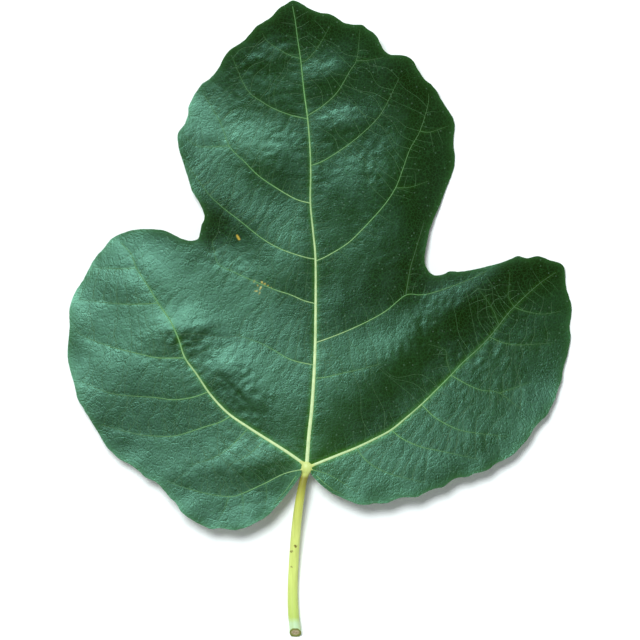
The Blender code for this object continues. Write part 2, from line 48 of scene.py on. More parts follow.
# edge of the blade, counter-clockwise from the left of the hub's notch
leafEdge = {
    "hubNotch": [(-1.9, -2.1), (-1.6, -0.4), (-1.2, 1), (0, 1.6), (1.2, 1), (1.6, -0.3), (1.5, -1.7)],
    "rightLower": [(3.5, -4.2), (6.2, -6.7), (8.8, -8.5), (12.8, -10.3), (16.5, -11.8), (19.8, -12.2),
        (22.8, -11.7), (26.5, -11.7), (28.8, -10.7), (31.5, -9.8), (34.8, -9.7), (37.2, -9.5), (39.2, -8.3),
        (42.5, -6.9), (45.5, -6.3), (47.5, -4.7), (50.2, -3.2), (53.5, -3), (55.8, -1.9), (58.8, -1.2),
        (61.2, -0.2), (62.8, 1.3), (65.8, 2.7), (69.2, 4.7), (71.2, 6.8), (73.5, 9.3), (75.5, 12.5),
        (77.5, 15), (80.2, 17.5), (81.2, 19.5), (83, 23), (84, 26.3), (85.2, 29.3), (85.7, 32.7),
        (86.8, 36.5), (87.8, 40.3), (88.3, 44), (88, 47), (88.4, 50.3), (88.7, 53.7), (87.8, 57),
        (86.8, 60.3), (86.5, 63.7), (86.2, 66.7)],
    "rightUpper": [(84.7, 68.4), (81.5, 69.3), (78.8, 70.4), (76.5, 70.7), (73.5, 70.1), (70.3, 70.8),
        (67.8, 69.7), (63.8, 68.3), (59.5, 67.2), (55.2, 66.2), (51.5, 65.6), (47.8, 65.7), (45.8, 64.8)],
    "rightSinus": [(43.2, 64.3), (41, 65.5), (39.8, 67.7), (39.5, 70.5), (40.2, 74.5), (41.2, 79.2),
        (42.7, 83.3), (44.7, 87.7), (46.3, 92), (48, 96.2)],
    "centreRight": [(49.3, 100), (49.7, 103.7), (49.2, 107.3), (49.3, 110.7), (49.6, 114), (49, 117),
        (47.3, 119.5), (45.2, 122.7), (43.5, 125.7), (41.7, 127.9), (39.3, 129.8), (37.2, 133),
        (35.5, 135.8), (33.3, 137.3), (30.8, 137.6), (28.2, 137.7), (26.2, 138.8), (24.5, 141.7),
        (23.2, 144.2), (20.7, 146), (18.7, 147.5), (15.8, 147.7), (12.8, 148.2), (10.5, 149.7),
        (7.8, 151.2), (4.8, 151.6), (1.5, 152.7), (-1.5, 154.5), (-4.5, 155.7)],
    "centreLeft": [(-6.8, 154.5), (-9.5, 152.8), (-11.7, 150.3), (-14, 148.7), (-16.5, 147.3),
        (-18.8, 144.8), (-20.7, 142.6), (-23.2, 140.9), (-25.7, 139.3), (-27.7, 136.7), (-29.5, 133.2),
        (-32.2, 130), (-34.8, 128.2), (-36.7, 125.8), (-38.5, 122.5), (-39.5, 120.3), (-39.7, 117.7),
        (-40.7, 114.8), (-42.7, 112.2), (-43.1, 110.2), (-42.7, 106.7), (-41.5, 102.7), (-39.8, 97.5),
        (-38.2, 92.3), (-36, 88.7)],
    "leftSinus": [(-34.5, 85.5), (-34.1, 83.2), (-35, 81.2), (-35.6, 78.7), (-36.2, 76.6), (-38, 75.9),
        (-40.8, 76.3), (-43.8, 77.6)],
    "leftLobe": [(-47.2, 79.2), (-52.2, 79.8), (-57.2, 79.6), (-61.8, 78.3), (-65.2, 76.5), (-67.5, 73.7),
        (-70.5, 70.3), (-72.8, 66.5), (-74.7, 62.7), (-77, 59.3), (-78.5, 56), (-79.3, 51.7), (-79.2, 46.7),
        (-79.7, 41), (-79.8, 37), (-79, 32.7), (-77.5, 27.7), (-76.5, 23.3), (-74.2, 19.3), (-72, 15.7),
        (-69.7, 12), (-66.8, 7.2), (-64.5, 4.8), (-62.2, 2.8)],
    "leftBase": [(-58.8, 1.1), (-55.8, -1), (-53.7, -3.1), (-50.2, -4.7), (-47.8, -7), (-45.8, -9.5),
        (-43.5, -11.7), (-41.8, -14.5), (-38.8, -16.8), (-35.2, -18.8), (-31.8, -20.2), (-28.2, -20),
        (-24.2, -20.6), (-20.5, -19.8), (-16.5, -18), (-12.8, -15.7), (-9.5, -12.3), (-6.5, -8.8),
        (-4, -5.4)],
}

# main veins from the hub outwards, then side veins in the order they leave their parent
mainVeins = {
    "midrib": [(0, 0), (0.3, 4.3), (0.8, 11), (1.7, 19.3), (2.3, 27.7), (2.8, 37.7), (3, 49.3), (3, 69),
        (2.2, 78.7), (1.3, 88.3), (1.4, 97.7), (1.2, 106), (0.4, 116.3), (-0.8, 125.3), (-1.9, 135.7),
        (-3, 143.3), (-3.8, 149.3), (-4.6, 153.6)],
    "left": [(-0.6, 1.3), (-5.8, 5), (-13.5, 9.9), (-19.3, 13.6), (-25.1, 17.5), (-28.9, 21), (-32.7, 25.5),
        (-36.5, 31.2), (-40.5, 36.8), (-42.5, 42.7), (-45.5, 49.3), (-49.5, 55), (-52.2, 59.7),
        (-56.7, 66.7), (-58.5, 71.3), (-61.8, 75)],
    "right": [(0.6, 0.4), (4.5, 2), (10.5, 4.4), (16.5, 6.8), (22.4, 9.6), (28.3, 12.8), (33.1, 16.7),
        (38.3, 21.2), (43.2, 26), (48.2, 31), (52.2, 35.2), (56.8, 39.3), (61.1, 43.7), (64, 47.3),
        (67, 51.2), (69.3, 53.7), (74.5, 58.7), (78.8, 62.3), (83.2, 65.2)],
}
sideVeins = {
    "basal": [
        [(-0.8, -0.2), (-7.2, -1.7), (-13.5, -4.8), (-21.2, -8.3), (-25.8, -9.4), (-34, -8.2),
         (-41.5, -6.1), (-46.2, -4.3)],
        [(0.8, -0.2), (4.5, -1.1), (7.8, -2.3), (12.5, -5), (16.8, -8)],
        [(-13.5, -4.8), (-13.2, -9), (-14.2, -14)],
        [(-21.5, -8.4), (-21, -12.3), (-21.5, -17.3)],
        [(-25.8, -9.4), (-27.2, -13.3), (-29.5, -17.3)],
    ],
    "midribLeft": [
        [(2.6, 34.3), (-2.8, 35.4), (-6.5, 36.7), (-10.7, 39.2), (-15.5, 41.7), (-23.5, 44.5)],
        [(2.9, 54.8), (-0.9, 55.8), (-5.5, 57.8), (-10.2, 59.3), (-18.7, 62.8), (-24.8, 65.6),
         (-29.5, 68.2), (-31.5, 75.3)],
        [(2.8, 69.6), (-0.8, 70.3), (-8.2, 72.8), (-14.8, 76.5), (-22.6, 82.7), (-27.8, 86.7),
         (-32.2, 90.8), (-35.8, 95.5), (-39.2, 100)],
        [(1.3, 88.2), (-3.8, 89.7), (-10.8, 93.8), (-16.2, 97.6), (-20.6, 102), (-25.7, 107.3),
         (-28.8, 115.3), (-34.5, 125)],
        [(-25.7, 107.3), (-35.5, 107.1), (-38.8, 109), (-42, 111.7)],
        [(0.4, 116.3), (-5.3, 117.6), (-10.8, 119.7), (-14.8, 122), (-18.9, 125), (-21.3, 128.8),
         (-25, 137.5)],
        [(-2, 136.3), (-6.7, 138), (-12.8, 142), (-14.8, 145)],
    ],
    "midribRight": [
        [(2.4, 29.9), (6.5, 30.3), (10.5, 31.3), (18.2, 33), (24.8, 34.8)],
        [(2.9, 41.7), (8.5, 43.7), (14.2, 46), (20.6, 49), (26.7, 52.5), (33.1, 57.6), (38.1, 57.7),
         (42.7, 58.6), (52.5, 62.1), (60.2, 65.7)],
        [(33.1, 57.6), (34.5, 66), (36.2, 72), (39.2, 82)],
        [(2.9, 68.9), (6.6, 70.5), (13.2, 74.5), (17.8, 78.7), (25.5, 87.1), (29.7, 93.4), (32.2, 99.9),
         (34.5, 106.3), (37.8, 112.3), (40.5, 121), (40.7, 124.7)],
        [(29.7, 93.4), (34.5, 93.6), (40.8, 95.7)],
        [(37.8, 112.3), (41.2, 112), (47.5, 114.2)],
        [(1.4, 100.7), (5.5, 102.3), (11, 105.7), (16.5, 109.7), (22.5, 115.2), (26, 120), (30.8, 129.7)],
        [(0.4, 117.4), (5.5, 120.7), (10.3, 125.3), (14.5, 132.3), (16.8, 136.3), (17.8, 146)],
        [(16.5, 135.7), (19.8, 135.7), (25.5, 136.7)],
        [(-1.8, 135.3), (0.2, 136), (3.5, 139.7), (8, 147.3)],
    ],
    "leftLobe": [
        [(-13.8, 10.4), (-16.2, 7.3), (-20, 4.1), (-26.3, 1)],
        [(-19.3, 13.5), (-23.2, 9.2), (-27.6, 5.4), (-32.7, 2.8), (-38.8, 1)],
        [(-25.1, 17.4), (-28.9, 15.3), (-34, 13.7), (-43.5, 10.8), (-50.5, 10.7), (-56.8, 11.4),
         (-68.5, 14.5)],
        [(-32.7, 25.4), (-37.8, 23.6), (-44.2, 22.8), (-50.5, 23.5), (-64.6, 24.8), (-74.8, 28.7)],
        [(-40.5, 36.7), (-49.2, 36.7), (-54.2, 37.7), (-65.5, 40.5), (-74.8, 44.2), (-77.5, 47.2)],
        [(-49.5, 54.9), (-56.2, 54.6), (-62.6, 54.7), (-75.7, 56.1)],
        [(-56.7, 66.7), (-62.6, 66.4), (-72.2, 67)],
    ],
    "rightLobe": [
        [(16.7, 6.7), (18.7, 3.8), (22.4, 0.7), (28.3, -2), (39.2, -4.7)],
        [(28.3, 12.7), (31.8, 9.9), (37.8, 7.2), (44.8, 5.7), (57.2, 3)],
        [(38.4, 21.1), (42.6, 17), (48.5, 13.7), (53.8, 12.1), (66.4, 10.5)],
        [(48.2, 30.9), (53.3, 28), (58.1, 26), (64.3, 25), (71.2, 19.7)],
        [(64.3, 25), (69.8, 26.8), (74.8, 28.7)],
        [(61.1, 43.6), (65.8, 41.7), (71.2, 41), (82.2, 41.7)],
        [(69.3, 53.6), (72.8, 52.3), (78.8, 51.3), (84.8, 52.2)],
        [(48.2, 31.1), (46.8, 35.7), (46.2, 39.3), (40.5, 41.3)],
        [(64.2, 47.7), (61.5, 54), (55.2, 62.3)],
        [(69.3, 53.8), (67.5, 57), (67.8, 65.3)],
    ],
}
allSides = [line for group in sideVeins.values() for line in group]

# the lie of the blade: a low dome set level on its three low points, folds along the veins, and swells
leafForm = {
    "thick": 0.5,
    "base": 6.0,
    "droop": 5.6,  # how far the side lobes hang
    "rise": 3.6,  # how far the tip and the foot of the blade rise
    "centre": (4.0, 50.0),
    "reach": (85.0, 100.0),
    "mainFold": (0.22, 0.12, 3.5, 1.0),  # depth at both ends, reach sideways, share of depth at once
    "sideFold": (0.06, 0.04, 2.5, 0.1),
    "foldEase": 0.15,
    "level": (1.0657, 0.007533, -0.03402),  # plane that sets the low points on the surface
    "veinStep": 4.0,
}
# swells of the whole form: centre, reach along and across, turn in degrees, height
leafSwells = [
    (-66, -10, 32, 34, 0, 1.8), (-58, 36, 26, 15, 0, 1.5), (-56, 64, 16, 11, 0, 1.3),
    (-48, 94, 10, 8, 0, 1.4), (-45, 128, 9, 8, 0, -0.9), (-42, 46.5, 7, 4.2, 8, 1.4),
    (-15, 27, 13, 4.5, -42, 0.5), (21, 37, 18, 7.5, 42, 0.85), (48, 52, 25, 18, 42, -1),
    (0, 24, 20, 20, 0, 0.8), (96, 12, 14, 16, 0, 2.4), (50, 84, 8, 9, 0, -1.2), (60, 61, 14, 7, 30, 0.9),
    (52, -8, 36, 17, 25, 1.8), (70, 74, 22, 9, 5, 3), (57, 108, 13, 28, 0, -4), (34, 102, 12, 12, 0, 1.1),
    (34, 143, 18, 13, -40, 2.2), (0, 159, 26, 10, 0, 3), (-30, 147, 14, 10, -40, 0.7),
    (-14, 104, 11, 6.5, -15, 0.9), (-12, 137, 7, 3.5, 10, 0.4), (6, 130, 7, 4, 0, 0.8),
    (13, 115, 7, 4, 5, 0.7), (14, 92, 11, 6, 15, 0.3), (-6, 66, 7, 8, 0, 0.6), (-22, 82, 14, 6, -32, 0.6),
    (-18, 2, 13, 4.2, 5, 0.5), (46, 52, 7, 4, 20, 0.6), (13, 22, 7, 4.5, 30, 0.4),
]


def smoothLine(points, step, closed=False):  # an even curve through the points
    ends = np.array(points, float)
    if closed:
        ends = np.vstack([ends[-1:], ends, ends[:2]])
    else:
        ends = np.vstack([2 * ends[0] - ends[1], ends, 2 * ends[-1] - ends[-2]])
    curve = []
    for before, here, there, after in zip(ends, ends[1:], ends[2:], ends[3:]):
        pieces = max(1, round(math.dist(here[:2], there[:2]) / step))
        for t in np.arange(pieces) / pieces:
            curve.append(0.5 * (2 * here + (there - before) * t
                                + (2 * before - 5 * here + 4 * there - after) * t**2
                                + (3 * here - before - 3 * there + after) * t**3))
    return np.array(curve if closed else curve + [ends[-2]])


def nearestOn(line, x, y):  # distance to a line, and how far along it the nearest place is
    best = np.full(x.shape, 1e9)
    share = np.zeros(x.shape)
    lengths = np.hypot(*np.diff(line, axis=0).T)
    done = 0.0
    for start, end, length in zip(line[:-1], line[1:], lengths):
        runX, runY = end[0] - start[0], end[1] - start[1]
        along = np.clip(((x - start[0]) * runX + (y - start[1]) * runY) / length**2, 0.0, 1.0)
        gap = np.hypot(x - start[0] - along * runX, y - start[1] - along * runY)
        closer = gap < best
        best = np.where(closer, gap, best)
        share = np.where(closer, (done + along * length) / lengths.sum(), share)
        done += length
    return best, share


mainCurves = [smoothLine(vein, leafForm["veinStep"]) for vein in mainVeins.values()]
sideCurves = [smoothLine(vein, leafForm["veinStep"]) for vein in allSides]


def veinFolds(x, y, curves, shape):
    start, end, reach, lead = shape
    deepest = np.zeros(x.shape)
    for curve in curves:
        gap, share = nearestOn(curve, x, y)
        depth = (start + (end - start) * share) * np.clip(lead + share / leafForm["foldEase"], 0, 1)
        deepest = np.maximum(deepest, depth * np.exp(-gap / reach))
    return deepest


def swells(x, y, rows):  # smooth round swells, added up
    total = np.zeros(x.shape)
    for centreX, centreY, along, across, turn, height in rows:
        c, s = math.cos(math.radians(turn)), math.sin(math.radians(turn))
        u = ((x - centreX) * c + (y - centreY) * s) / along
        v = (-(x - centreX) * s + (y - centreY) * c) / across
        total += height * np.exp(-(u**2 + v**2) / 2)
    return total


def bladeHeight(x, y):  # middle of the blade over the surface, in millimetres
    form = leafForm
    offX = (x - form["centre"][0]) / form["reach"][0]
    offY = (y - form["centre"][1]) / form["reach"][1]
    shift, slopeX, slopeY = form["level"]
    z = form["base"] - form["droop"] * offX**2 + form["rise"] * offY**2 + shift + slopeX * x + slopeY * y
    z = z - veinFolds(x, y, mainCurves, form["mainFold"]) - veinFolds(x, y, sideCurves, form["sideFold"])
    return z + swells(x, y, leafSwells)


# fine relief that only the visible blade carries
fineForm = {
    "rungDepth": 0.035, "rungReach": 0.4,
    "puckerHeight": 0.014, "pucker": (1.5, 3.4, 1.7),  # size across and along the grain, seed
    "unevenHeight": 0.04, "uneven": (6.0, 5.3),  # size, seed
    "crumple": (3.0, 7.7),
    "edgeHeight": 0.2, "edgeWave": (8.5, 9.2), "edgeLean": 0.2, "edgeReach": 5.0,
    "lowest": 0.32,
    "nearVeins": 24, "nearness": 1.2, "grainStep": 2.0,  # how the grain follows the veins
}
# further swells of the visible blade alone, for its sheen, with their values in the same order
fineSwells = [
    (-50, 104, 12, 14, 0, 1.1), (-27, 76, 9, 5, -35, -0.35), (-31, 69, 8, 4, -35, 0.1),
    (-38, 84, 7, 7, 0, 0.9), (-48, 114, 6, 9, 0, 1.1), (-24, 92, 12, 5, -40, 0.25),
    (-12, 124, 10, 5, -20, 0.3), (-10, 130, 10, 5, -20, 0.25), (-3, 137, 5, 4, 0, 0.2),
    (10, 134, 6, 4, 0, 0.2), (-20, 147, 9, 6, -35, 0.4), (32, 88, 8, 16, 0, 0.15), (28, 80, 9, 8, 0, 0.3),
    (21, 40, 16, 6, 45, -0.22), (24, 31, 15, 5, 46, 0.5), (27, 52, 14, 6, 25, -0.25),
    (13, 22, 7, 4.5, 30, -0.35), (33, 39, 7, 4, 45, 0.25), (44, 52, 7, 4, 20, -0.55),
    (53, 55, 8, 4, 25, 0.5), (-86, 54, 9, 9, 0, 1.2), (-83, 18, 10, 12, 0, 1.3), (-80, 47, 7, 6, 0, 0.35),
    (80, -4, 10, 9, 0, 0.9), (80, 30, 13, 10, 0, -0.6), (-10, -22, 12, 9, 0, 0.4), (-8, 10, 12, 8, 0, 0.2),
    (-18, 2, 13, 4.2, 5, -0.17), (16, 52, 12, 6, 10, 0.25), (13, 8, 6, 4.5, 25, -0.15),
    (13, 115, 7, 4, 5, -0.2), (-14, 104, 11, 6.5, -15, -0.12), (6, 130, 7, 4, 0, -0.15),
    (1.5, 70, 45, 4, 90, 0.14), (-15, 27, 13, 4.5, -42, -0.15), (17, 26, 12, 5, 46, -0.25),
    (-30, 31, 6, 4, -42, 0.1), (-42, 46.5, 7, 4.2, 8, -0.85), (-41, 56, 10, 6, 8, 0.15),
    (-26.5, 33, 3, 2.2, -20, 0.16), (-20, 25, 5, 1.8, -40, 0.12), (-34, 47, 4, 1.5, 20, 0.1),
    (46, 58, 5, 3, 20, 0.2),
]
# where the leaf is crumpled into small sharp folds: centre, reach along and across, turn, height
crumples = [
    (-22, 27, 11, 6, -42, 0.1), (-44, 43, 9, 5, 5, 0.1), (-10, 104, 12, 8, -10, 0.05),
    (12, 114, 8, 7, 0, 0.04), (6, 132, 10, 9, 0, 0.04), (-15, 126, 9, 11, 0, 0.05),
    (20, 100, 12, 8, 30, 0.05), (38, 41, 11, 6, 40, 0.08), (48, 53, 9, 7, 20, 0.05),
    (60, 34, 12, 9, 30, 0.06), (26, 14, 12, 5, 35, 0.04), (-20, 3, 11, 4, 5, 0.06),
    (38, 100, 9, 14, 0, 0.06), (24, 72, 10, 8, 0, 0.05), (-26, 72, 8, 6, -30, 0.06),
    (-14, 140, 12, 8, 30, 0.06),
]


def pointTree(lines):
    points = np.vstack(lines)
    tree = KDTree(len(points))
    for i, (px, py) in enumerate(points):
        tree.insert((px, py, 0.0), i)
    tree.balance()
    return tree


def treeGap(tree, x, y):
    return np.array([tree.find((px, py, 0.0))[2] for px, py in zip(x, y)])


def insideOutline(x, y):
    result = np.zeros(x.shape, bool)
    for corner, previous in zip(outline, np.roll(outline, 1, axis=0)):
        rise = previous[1] - corner[1]
        rise = rise if abs(rise) > 1e-12 else 1e-12
        cross = (previous[0] - corner[0]) * (y - corner[1]) / rise + corner[0]
        result ^= ((corner[1] > y) != (previous[1] > y)) & (x < cross)
    return result


def wobble(x, y, size, seed):  # smooth noise between about -1 and 1
    return np.array([noise.noise((px / size + seed, py / size - seed, seed * 0.37)) for px, py in zip(x, y)])


# small teeth: the edge is drawn in a little by noise, and stays smooth near the hub
toothForm = {"step": 0.66, "depth": 0.13, "size": 1.6, "seed": 3.1, "smoothTo": 3.0, "fullAfter": 6.0}


def leftOf(run):  # steps of a line as unit steps to its left
    run = run / np.maximum(np.hypot(*run.T), 1e-9)[:, None]
    return np.column_stack([-run[:, 1], run[:, 0]])


def makeOutline():
    form = toothForm
    base = smoothLine([p for part in leafEdge.values() for p in part], form["step"], closed=True)
    inward = leftOf(np.roll(base, -1, axis=0) - np.roll(base, 1, axis=0))
    rough = form["depth"] * (1 + wobble(*base.T, form["size"], form["seed"]))
    rough *= np.clip((np.hypot(*base.T) - form["smoothTo"]) / form["fullAfter"], 0, 1)
    return base + inward * rough[:, None]


outline = makeOutline()
edgeTree = pointTree([outline])
print("outline", len(outline), "points")


# small veins: rungs between one side vein and the next, and spurs that end in the blade
ladderForm = {
    "step": 4, "longest": 24.0, "shortest": 2.2, "bend": 0.1, "bends": (0.33, 0.68), "margin": 1.0,
    "spurStep": 3.2, "spurSteps": (0.7, 1.4), "spurTurn": (68, 88), "spurLength": 5.5,
    "spurLengths": (0.5, 1.25), "spurBend": (-0.5, 0.5), "pointStep": 0.8,
}
ladderPairs = {
    "midribLeft": ((0, 1), (1, 2), (2, 3), (3, 5), (5, 6)),
    "midribRight": ((0, 1), (1, 3), (3, 6), (6, 7), (7, 9)),
    "leftLobe": ((0, 1), (1, 2), (2, 3), (3, 4), (4, 5), (5, 6)),
    "rightLobe": ((0, 1), (1, 2), (2, 3), (3, 5), (5, 6), (7, 8), (8, 9)),
}


def ladder(lower, upper):
    form = ladderForm
    low = smoothLine(lower, 1.0)
    high = smoothLine(upper, 1.0)
    rungs = []
    for i in range(2, len(low), form["step"]):
        start = low[min(len(low) - 1, i + random.randint(0, 1))]
        gaps = np.hypot(*(high - start).T)
        j = int(np.argmin(gaps)) + random.randint(-2, 3)
        if j < 1 or j >= len(high) - 1:
            continue
        end = high[j]
        if not form["shortest"] < math.dist(start, end) < form["longest"]:
            continue
        run = end - start
        side = np.array([-run[1], run[0]])
        bend = side * random.uniform(-1, 1) * form["bend"]
        early, late = form["bends"]
        inner = (start + run * early + bend, start + run * late - bend * random.uniform(0.2, 1))
        rungs.append(smoothLine([start, *inner, end], form["pointStep"]))
    return rungs


def spurs(vein, side):
    form = ladderForm
    line = smoothLine(vein, 1.0)
    result = []
    i = 3
    while i < len(line) - 3:
        run = line[i + 1] - line[i - 1]
        run = run / np.hypot(*run)
        turn = side * math.radians(random.uniform(*form["spurTurn"]))
        across = np.array([-run[1], run[0]])
        way = run * math.cos(turn) + across * math.sin(turn)
        cross = across * math.cos(turn) - run * math.sin(turn)
        way = way * form["spurLength"] * random.uniform(*form["spurLengths"])
        middle = line[i] + way * 0.5 + cross * random.uniform(*form["spurBend"])
        result.append(smoothLine([line[i], middle, line[i] + way], form["pointStep"]))
        i += max(1, round(form["spurStep"] * random.uniform(*form["spurSteps"])))
    return result


def makeRungs():
    sides = sideVeins

    def between(*groups):
        return [(sides[group][a], sides[group][b]) for group in groups for a, b in ladderPairs[group]]

    pairs = [(mainVeins["left"], sides["midribLeft"][0])] + between("midribLeft", "midribRight")
    pairs += [(mainVeins["right"], vein) for vein in sides["midribRight"][:2]]
    pairs += between("leftLobe", "rightLobe")
    pairs += [(sides["basal"][0], vein) for vein in sides["leftLobe"][:2]]
    pairs += [(sides["basal"][1], sides["rightLobe"][0])]
    rungs = []
    for lower, upper in pairs:
        rungs += ladder(lower, upper)
    for vein in mainVeins.values():
        rungs += spurs(vein, 1) + spurs(vein, -1)
    for vein in allSides:
        rungs += spurs(vein, random.choice((-1, 1)))
    x, y = np.vstack(rungs).T
    fits = insideOutline(x, y) & (treeGap(edgeTree, x, y) > ladderForm["margin"])
    ends = np.cumsum([len(rung) for rung in rungs])
    return [rung for rung, ok in zip(rungs, np.split(fits, ends[:-1])) if ok.all()]


rungs = makeRungs()
rungTree = pointTree([smoothLine(rung, 0.3) for rung in rungs])
print("small veins", len(rungs))


def fineHeight(x, y):
    form = fineForm
    z = bladeHeight(x, y) + swells(x, y, fineSwells)
    z = z - form["rungDepth"] * np.exp(-treeGap(rungTree, x, y) / form["rungReach"])
    z = z + form["puckerHeight"] * wrinkles(x, y, grainWeights(x, y), *form["pucker"])
    z = z + form["unevenHeight"] * wobble(x, y, *form["uneven"])
    folded = 1 - 2 * np.abs(wobble(x, y, *form["crumple"]))
    z = z + folded * swells(x, y, crumples)
    wave = wobble(x, y, *form["edgeWave"]) - form["edgeLean"]
    z = z + form["edgeHeight"] * wave * np.exp(-treeGap(edgeTree, x, y) / form["edgeReach"])
    return np.maximum(z, form["lowest"])


# which way the fine wrinkles run: square to the veins nearby, as four weights for 0, 45, 90 and 135 degrees
def grainWeights(x, y):
    form = fineForm
    lines = [smoothLine(curve, form["grainStep"]) for curve in mainCurves + sideCurves]
    tree = pointTree(lines)
    runX, runY = np.vstack([np.gradient(line, axis=0) for line in lines]).T
    ways = np.exp(2j * (np.arctan2(runY, runX) + math.pi / 2)).tolist()
    result = np.zeros((len(x), 4))
    for i, (px, py) in enumerate(zip(x, y)):
        near = tree.find_n((px, py, 0.0), form["nearVeins"])
        way = sum(ways[index] / (gap + form["nearness"])**2 for _, index, gap in near)
        way /= abs(way) or 1.0
        result[i] = [max(0, part)**2 for part in (way.real, way.imag, -way.real, -way.imag)]
    return result


def wrinkles(x, y, weights, across, along, seed):
    total = np.zeros(x.shape)
    for k in range(4):
        turn = math.radians(45 * k)
        u = (x * math.cos(turn) + y * math.sin(turn)) / along
        v = (-x * math.sin(turn) + y * math.cos(turn)) / across
        total += weights[:, k] * wobble(u, v, 1.0, seed + k)
    return total


def toWorld(points):  # millimetres from the hub to metres in the row frame
    out = np.array(points, float)
    out[:, 0] += hubPlace[0]
    out[:, 1] += hubPlace[1]
    return out / 1000


def placeOf(*point):
    return tuple(toWorld([point])[0].tolist())


def pick(*pieces):  # selects these alone, the first one active
    bpy.ops.object.select_all(action="DESELECT")
    for piece in pieces:
        piece.select_set(True)
    bpy.context.view_layer.objects.active = pieces[0]


def addObject(name, data):
    piece = bpy.data.objects.new(name, data)
    bpy.context.collection.objects.link(piece)
    return piece


def newObject(name, points, faces):
    mesh = bpy.data.meshes.new(name)
    mesh.from_pydata(toWorld(points).tolist(), [], faces)
    mesh.validate()
    piece = addObject(name, mesh)
    pick(piece)
    return piece


def applyAll(piece):
    bpy.context.view_layer.objects.active = piece
    for modifier in list(piece.modifiers):
        bpy.ops.object.modifier_apply(modifier=modifier.name)


def editWhole(operator, **settings):  # one operator in edit mode, on all of the active mesh
    bpy.ops.object.mode_set(mode="EDIT")
    bpy.ops.mesh.select_all(action="SELECT")
    operator(**settings)
    bpy.ops.object.mode_set(mode="OBJECT")


def finishPiece(piece, label):  # smooth shading, but for edges sharper than 60 degrees
    bpy.ops.object.shade_smooth_by_angle(angle=math.radians(60))
    print(label, len(piece.data.polygons), "faces")


def floatColour(piece, name, channels):
    layer = piece.data.color_attributes.new(name, "FLOAT_COLOR", "POINT")
    data = np.zeros((len(piece.data.vertices), 4), np.float32)
    for i, channel in enumerate(channels):
        data[:, i] = channel
    layer.data.foreach_set("color", data.ravel())


# blade: one sheet of triangles cut to the outline and along the veins, then given its thickness
bladeForm = {
    "fieldStep": 0.69, "fieldClear": 0.36, "veinCut": 0.75, "veinEnd": 1.2,
    # glow beside the veins: reach, what it loses towards the vein's end, strength, what it loses there
    "mainGlow": (1.4, 0.9, 1.0, 0.85),
    "sideGlow": (0.5, 0.0, 0.25, 0.8),
    "hubGlow": (0.35, 9.0, 3.0),  # strength, reach, how far above the hub
    "edgeReach": 1.1,
}


def shortened(line, clearance):  # ends the outer half of a line before it comes too near the margin
    gap = treeGap(edgeTree, *line.T)
    beyond = (gap < clearance) & (np.arange(len(line)) > len(line) // 2)
    return line[: np.argmax(beyond)] if beyond.any() else line


def veinGlow(x, y, veins, shape):
    reach, thinner, strength, fading = shape
    glow = np.zeros(x.shape)
    for vein in veins:
        gap, share = nearestOn(smoothLine(vein, 2.0), x, y)
        near = np.exp(-(gap / (reach - thinner * share))**2)
        glow = np.maximum(glow, strength * near * (1 - fading * share))
    return glow


def makeBlade():
    form = bladeForm
    lines = [smoothLine(vein, form["veinCut"])[3:] for vein in mainVeins.values()]
    lines += [smoothLine(vein, form["veinCut"])[1:] for vein in allSides]
    places = [outline]
    edges = []
    for line in lines:
        line = shortened(line, form["veinEnd"])
        first = sum(map(len, places))
        edges += [(i, i + 1) for i in range(first, first + len(line) - 1)]
        places.append(line)
    step = form["fieldStep"]
    low = outline.min(axis=0)
    high = outline.max(axis=0)
    rows = np.arange(low[1], high[1], step * math.sqrt(0.75))
    ys, xs = np.meshgrid(rows, np.arange(low[0], high[0], step), indexing="ij")
    xs = xs + 0.5 * step * (np.arange(len(rows)) % 2)[:, None]
    field = np.column_stack([xs.ravel(), ys.ravel()])
    field = field[insideOutline(*field.T)]
    places.append(field[treeGap(pointTree(places), *field.T) > form["fieldClear"]])
    points = [Vector(place) for place in np.vstack(places).tolist()]
    plan, _, triangles, _, _, _ = delaunay_2d_cdt(points, edges, [list(range(len(outline)))], 1, 1e-5)
    x, y = np.array([tuple(p) for p in plan]).T
    z = fineHeight(x, y) + leafForm["thick"] / 2
    a, b, c = np.array(triangles).T
    turn = (x[b] - x[a]) * (y[c] - y[a]) - (y[b] - y[a]) * (x[c] - x[a])
    upward = np.where(turn > 0, (a, b, c), (a, c, b)).T.tolist()
    blade = newObject("leafBlade", np.column_stack([x, y, z]), upward)
    strength, reach, above = form["hubGlow"]
    glow = np.maximum(veinGlow(x, y, mainVeins.values(), form["mainGlow"]),
                      veinGlow(x, y, allSides, form["sideGlow"]))
    glow = np.maximum(glow, strength * np.exp(-np.hypot(x, y - above) / reach))
    edge = np.exp(-treeGap(edgeTree, x, y) / form["edgeReach"])
    # the second mark is painted shade: darker olive where the blade turns from the light
    paintedShade, rust = (np.clip(swells(x, y, rows), 0, 1) for rows in (paintedShadeZones, rustSpots))
    floatColour(blade, "bladeMarksAndShade", (glow, paintedShade, edge, rust))
    floatColour(blade, "wrinkleWay", grainWeights(x, y).T)
    solid = blade.modifiers.new("thickness", "SOLIDIFY")
    solid.thickness = leafForm["thick"] / 1000
    solid.offset = -1.0
    solid.material_offset = 1
    solid.material_offset_rim = 0
    return blade
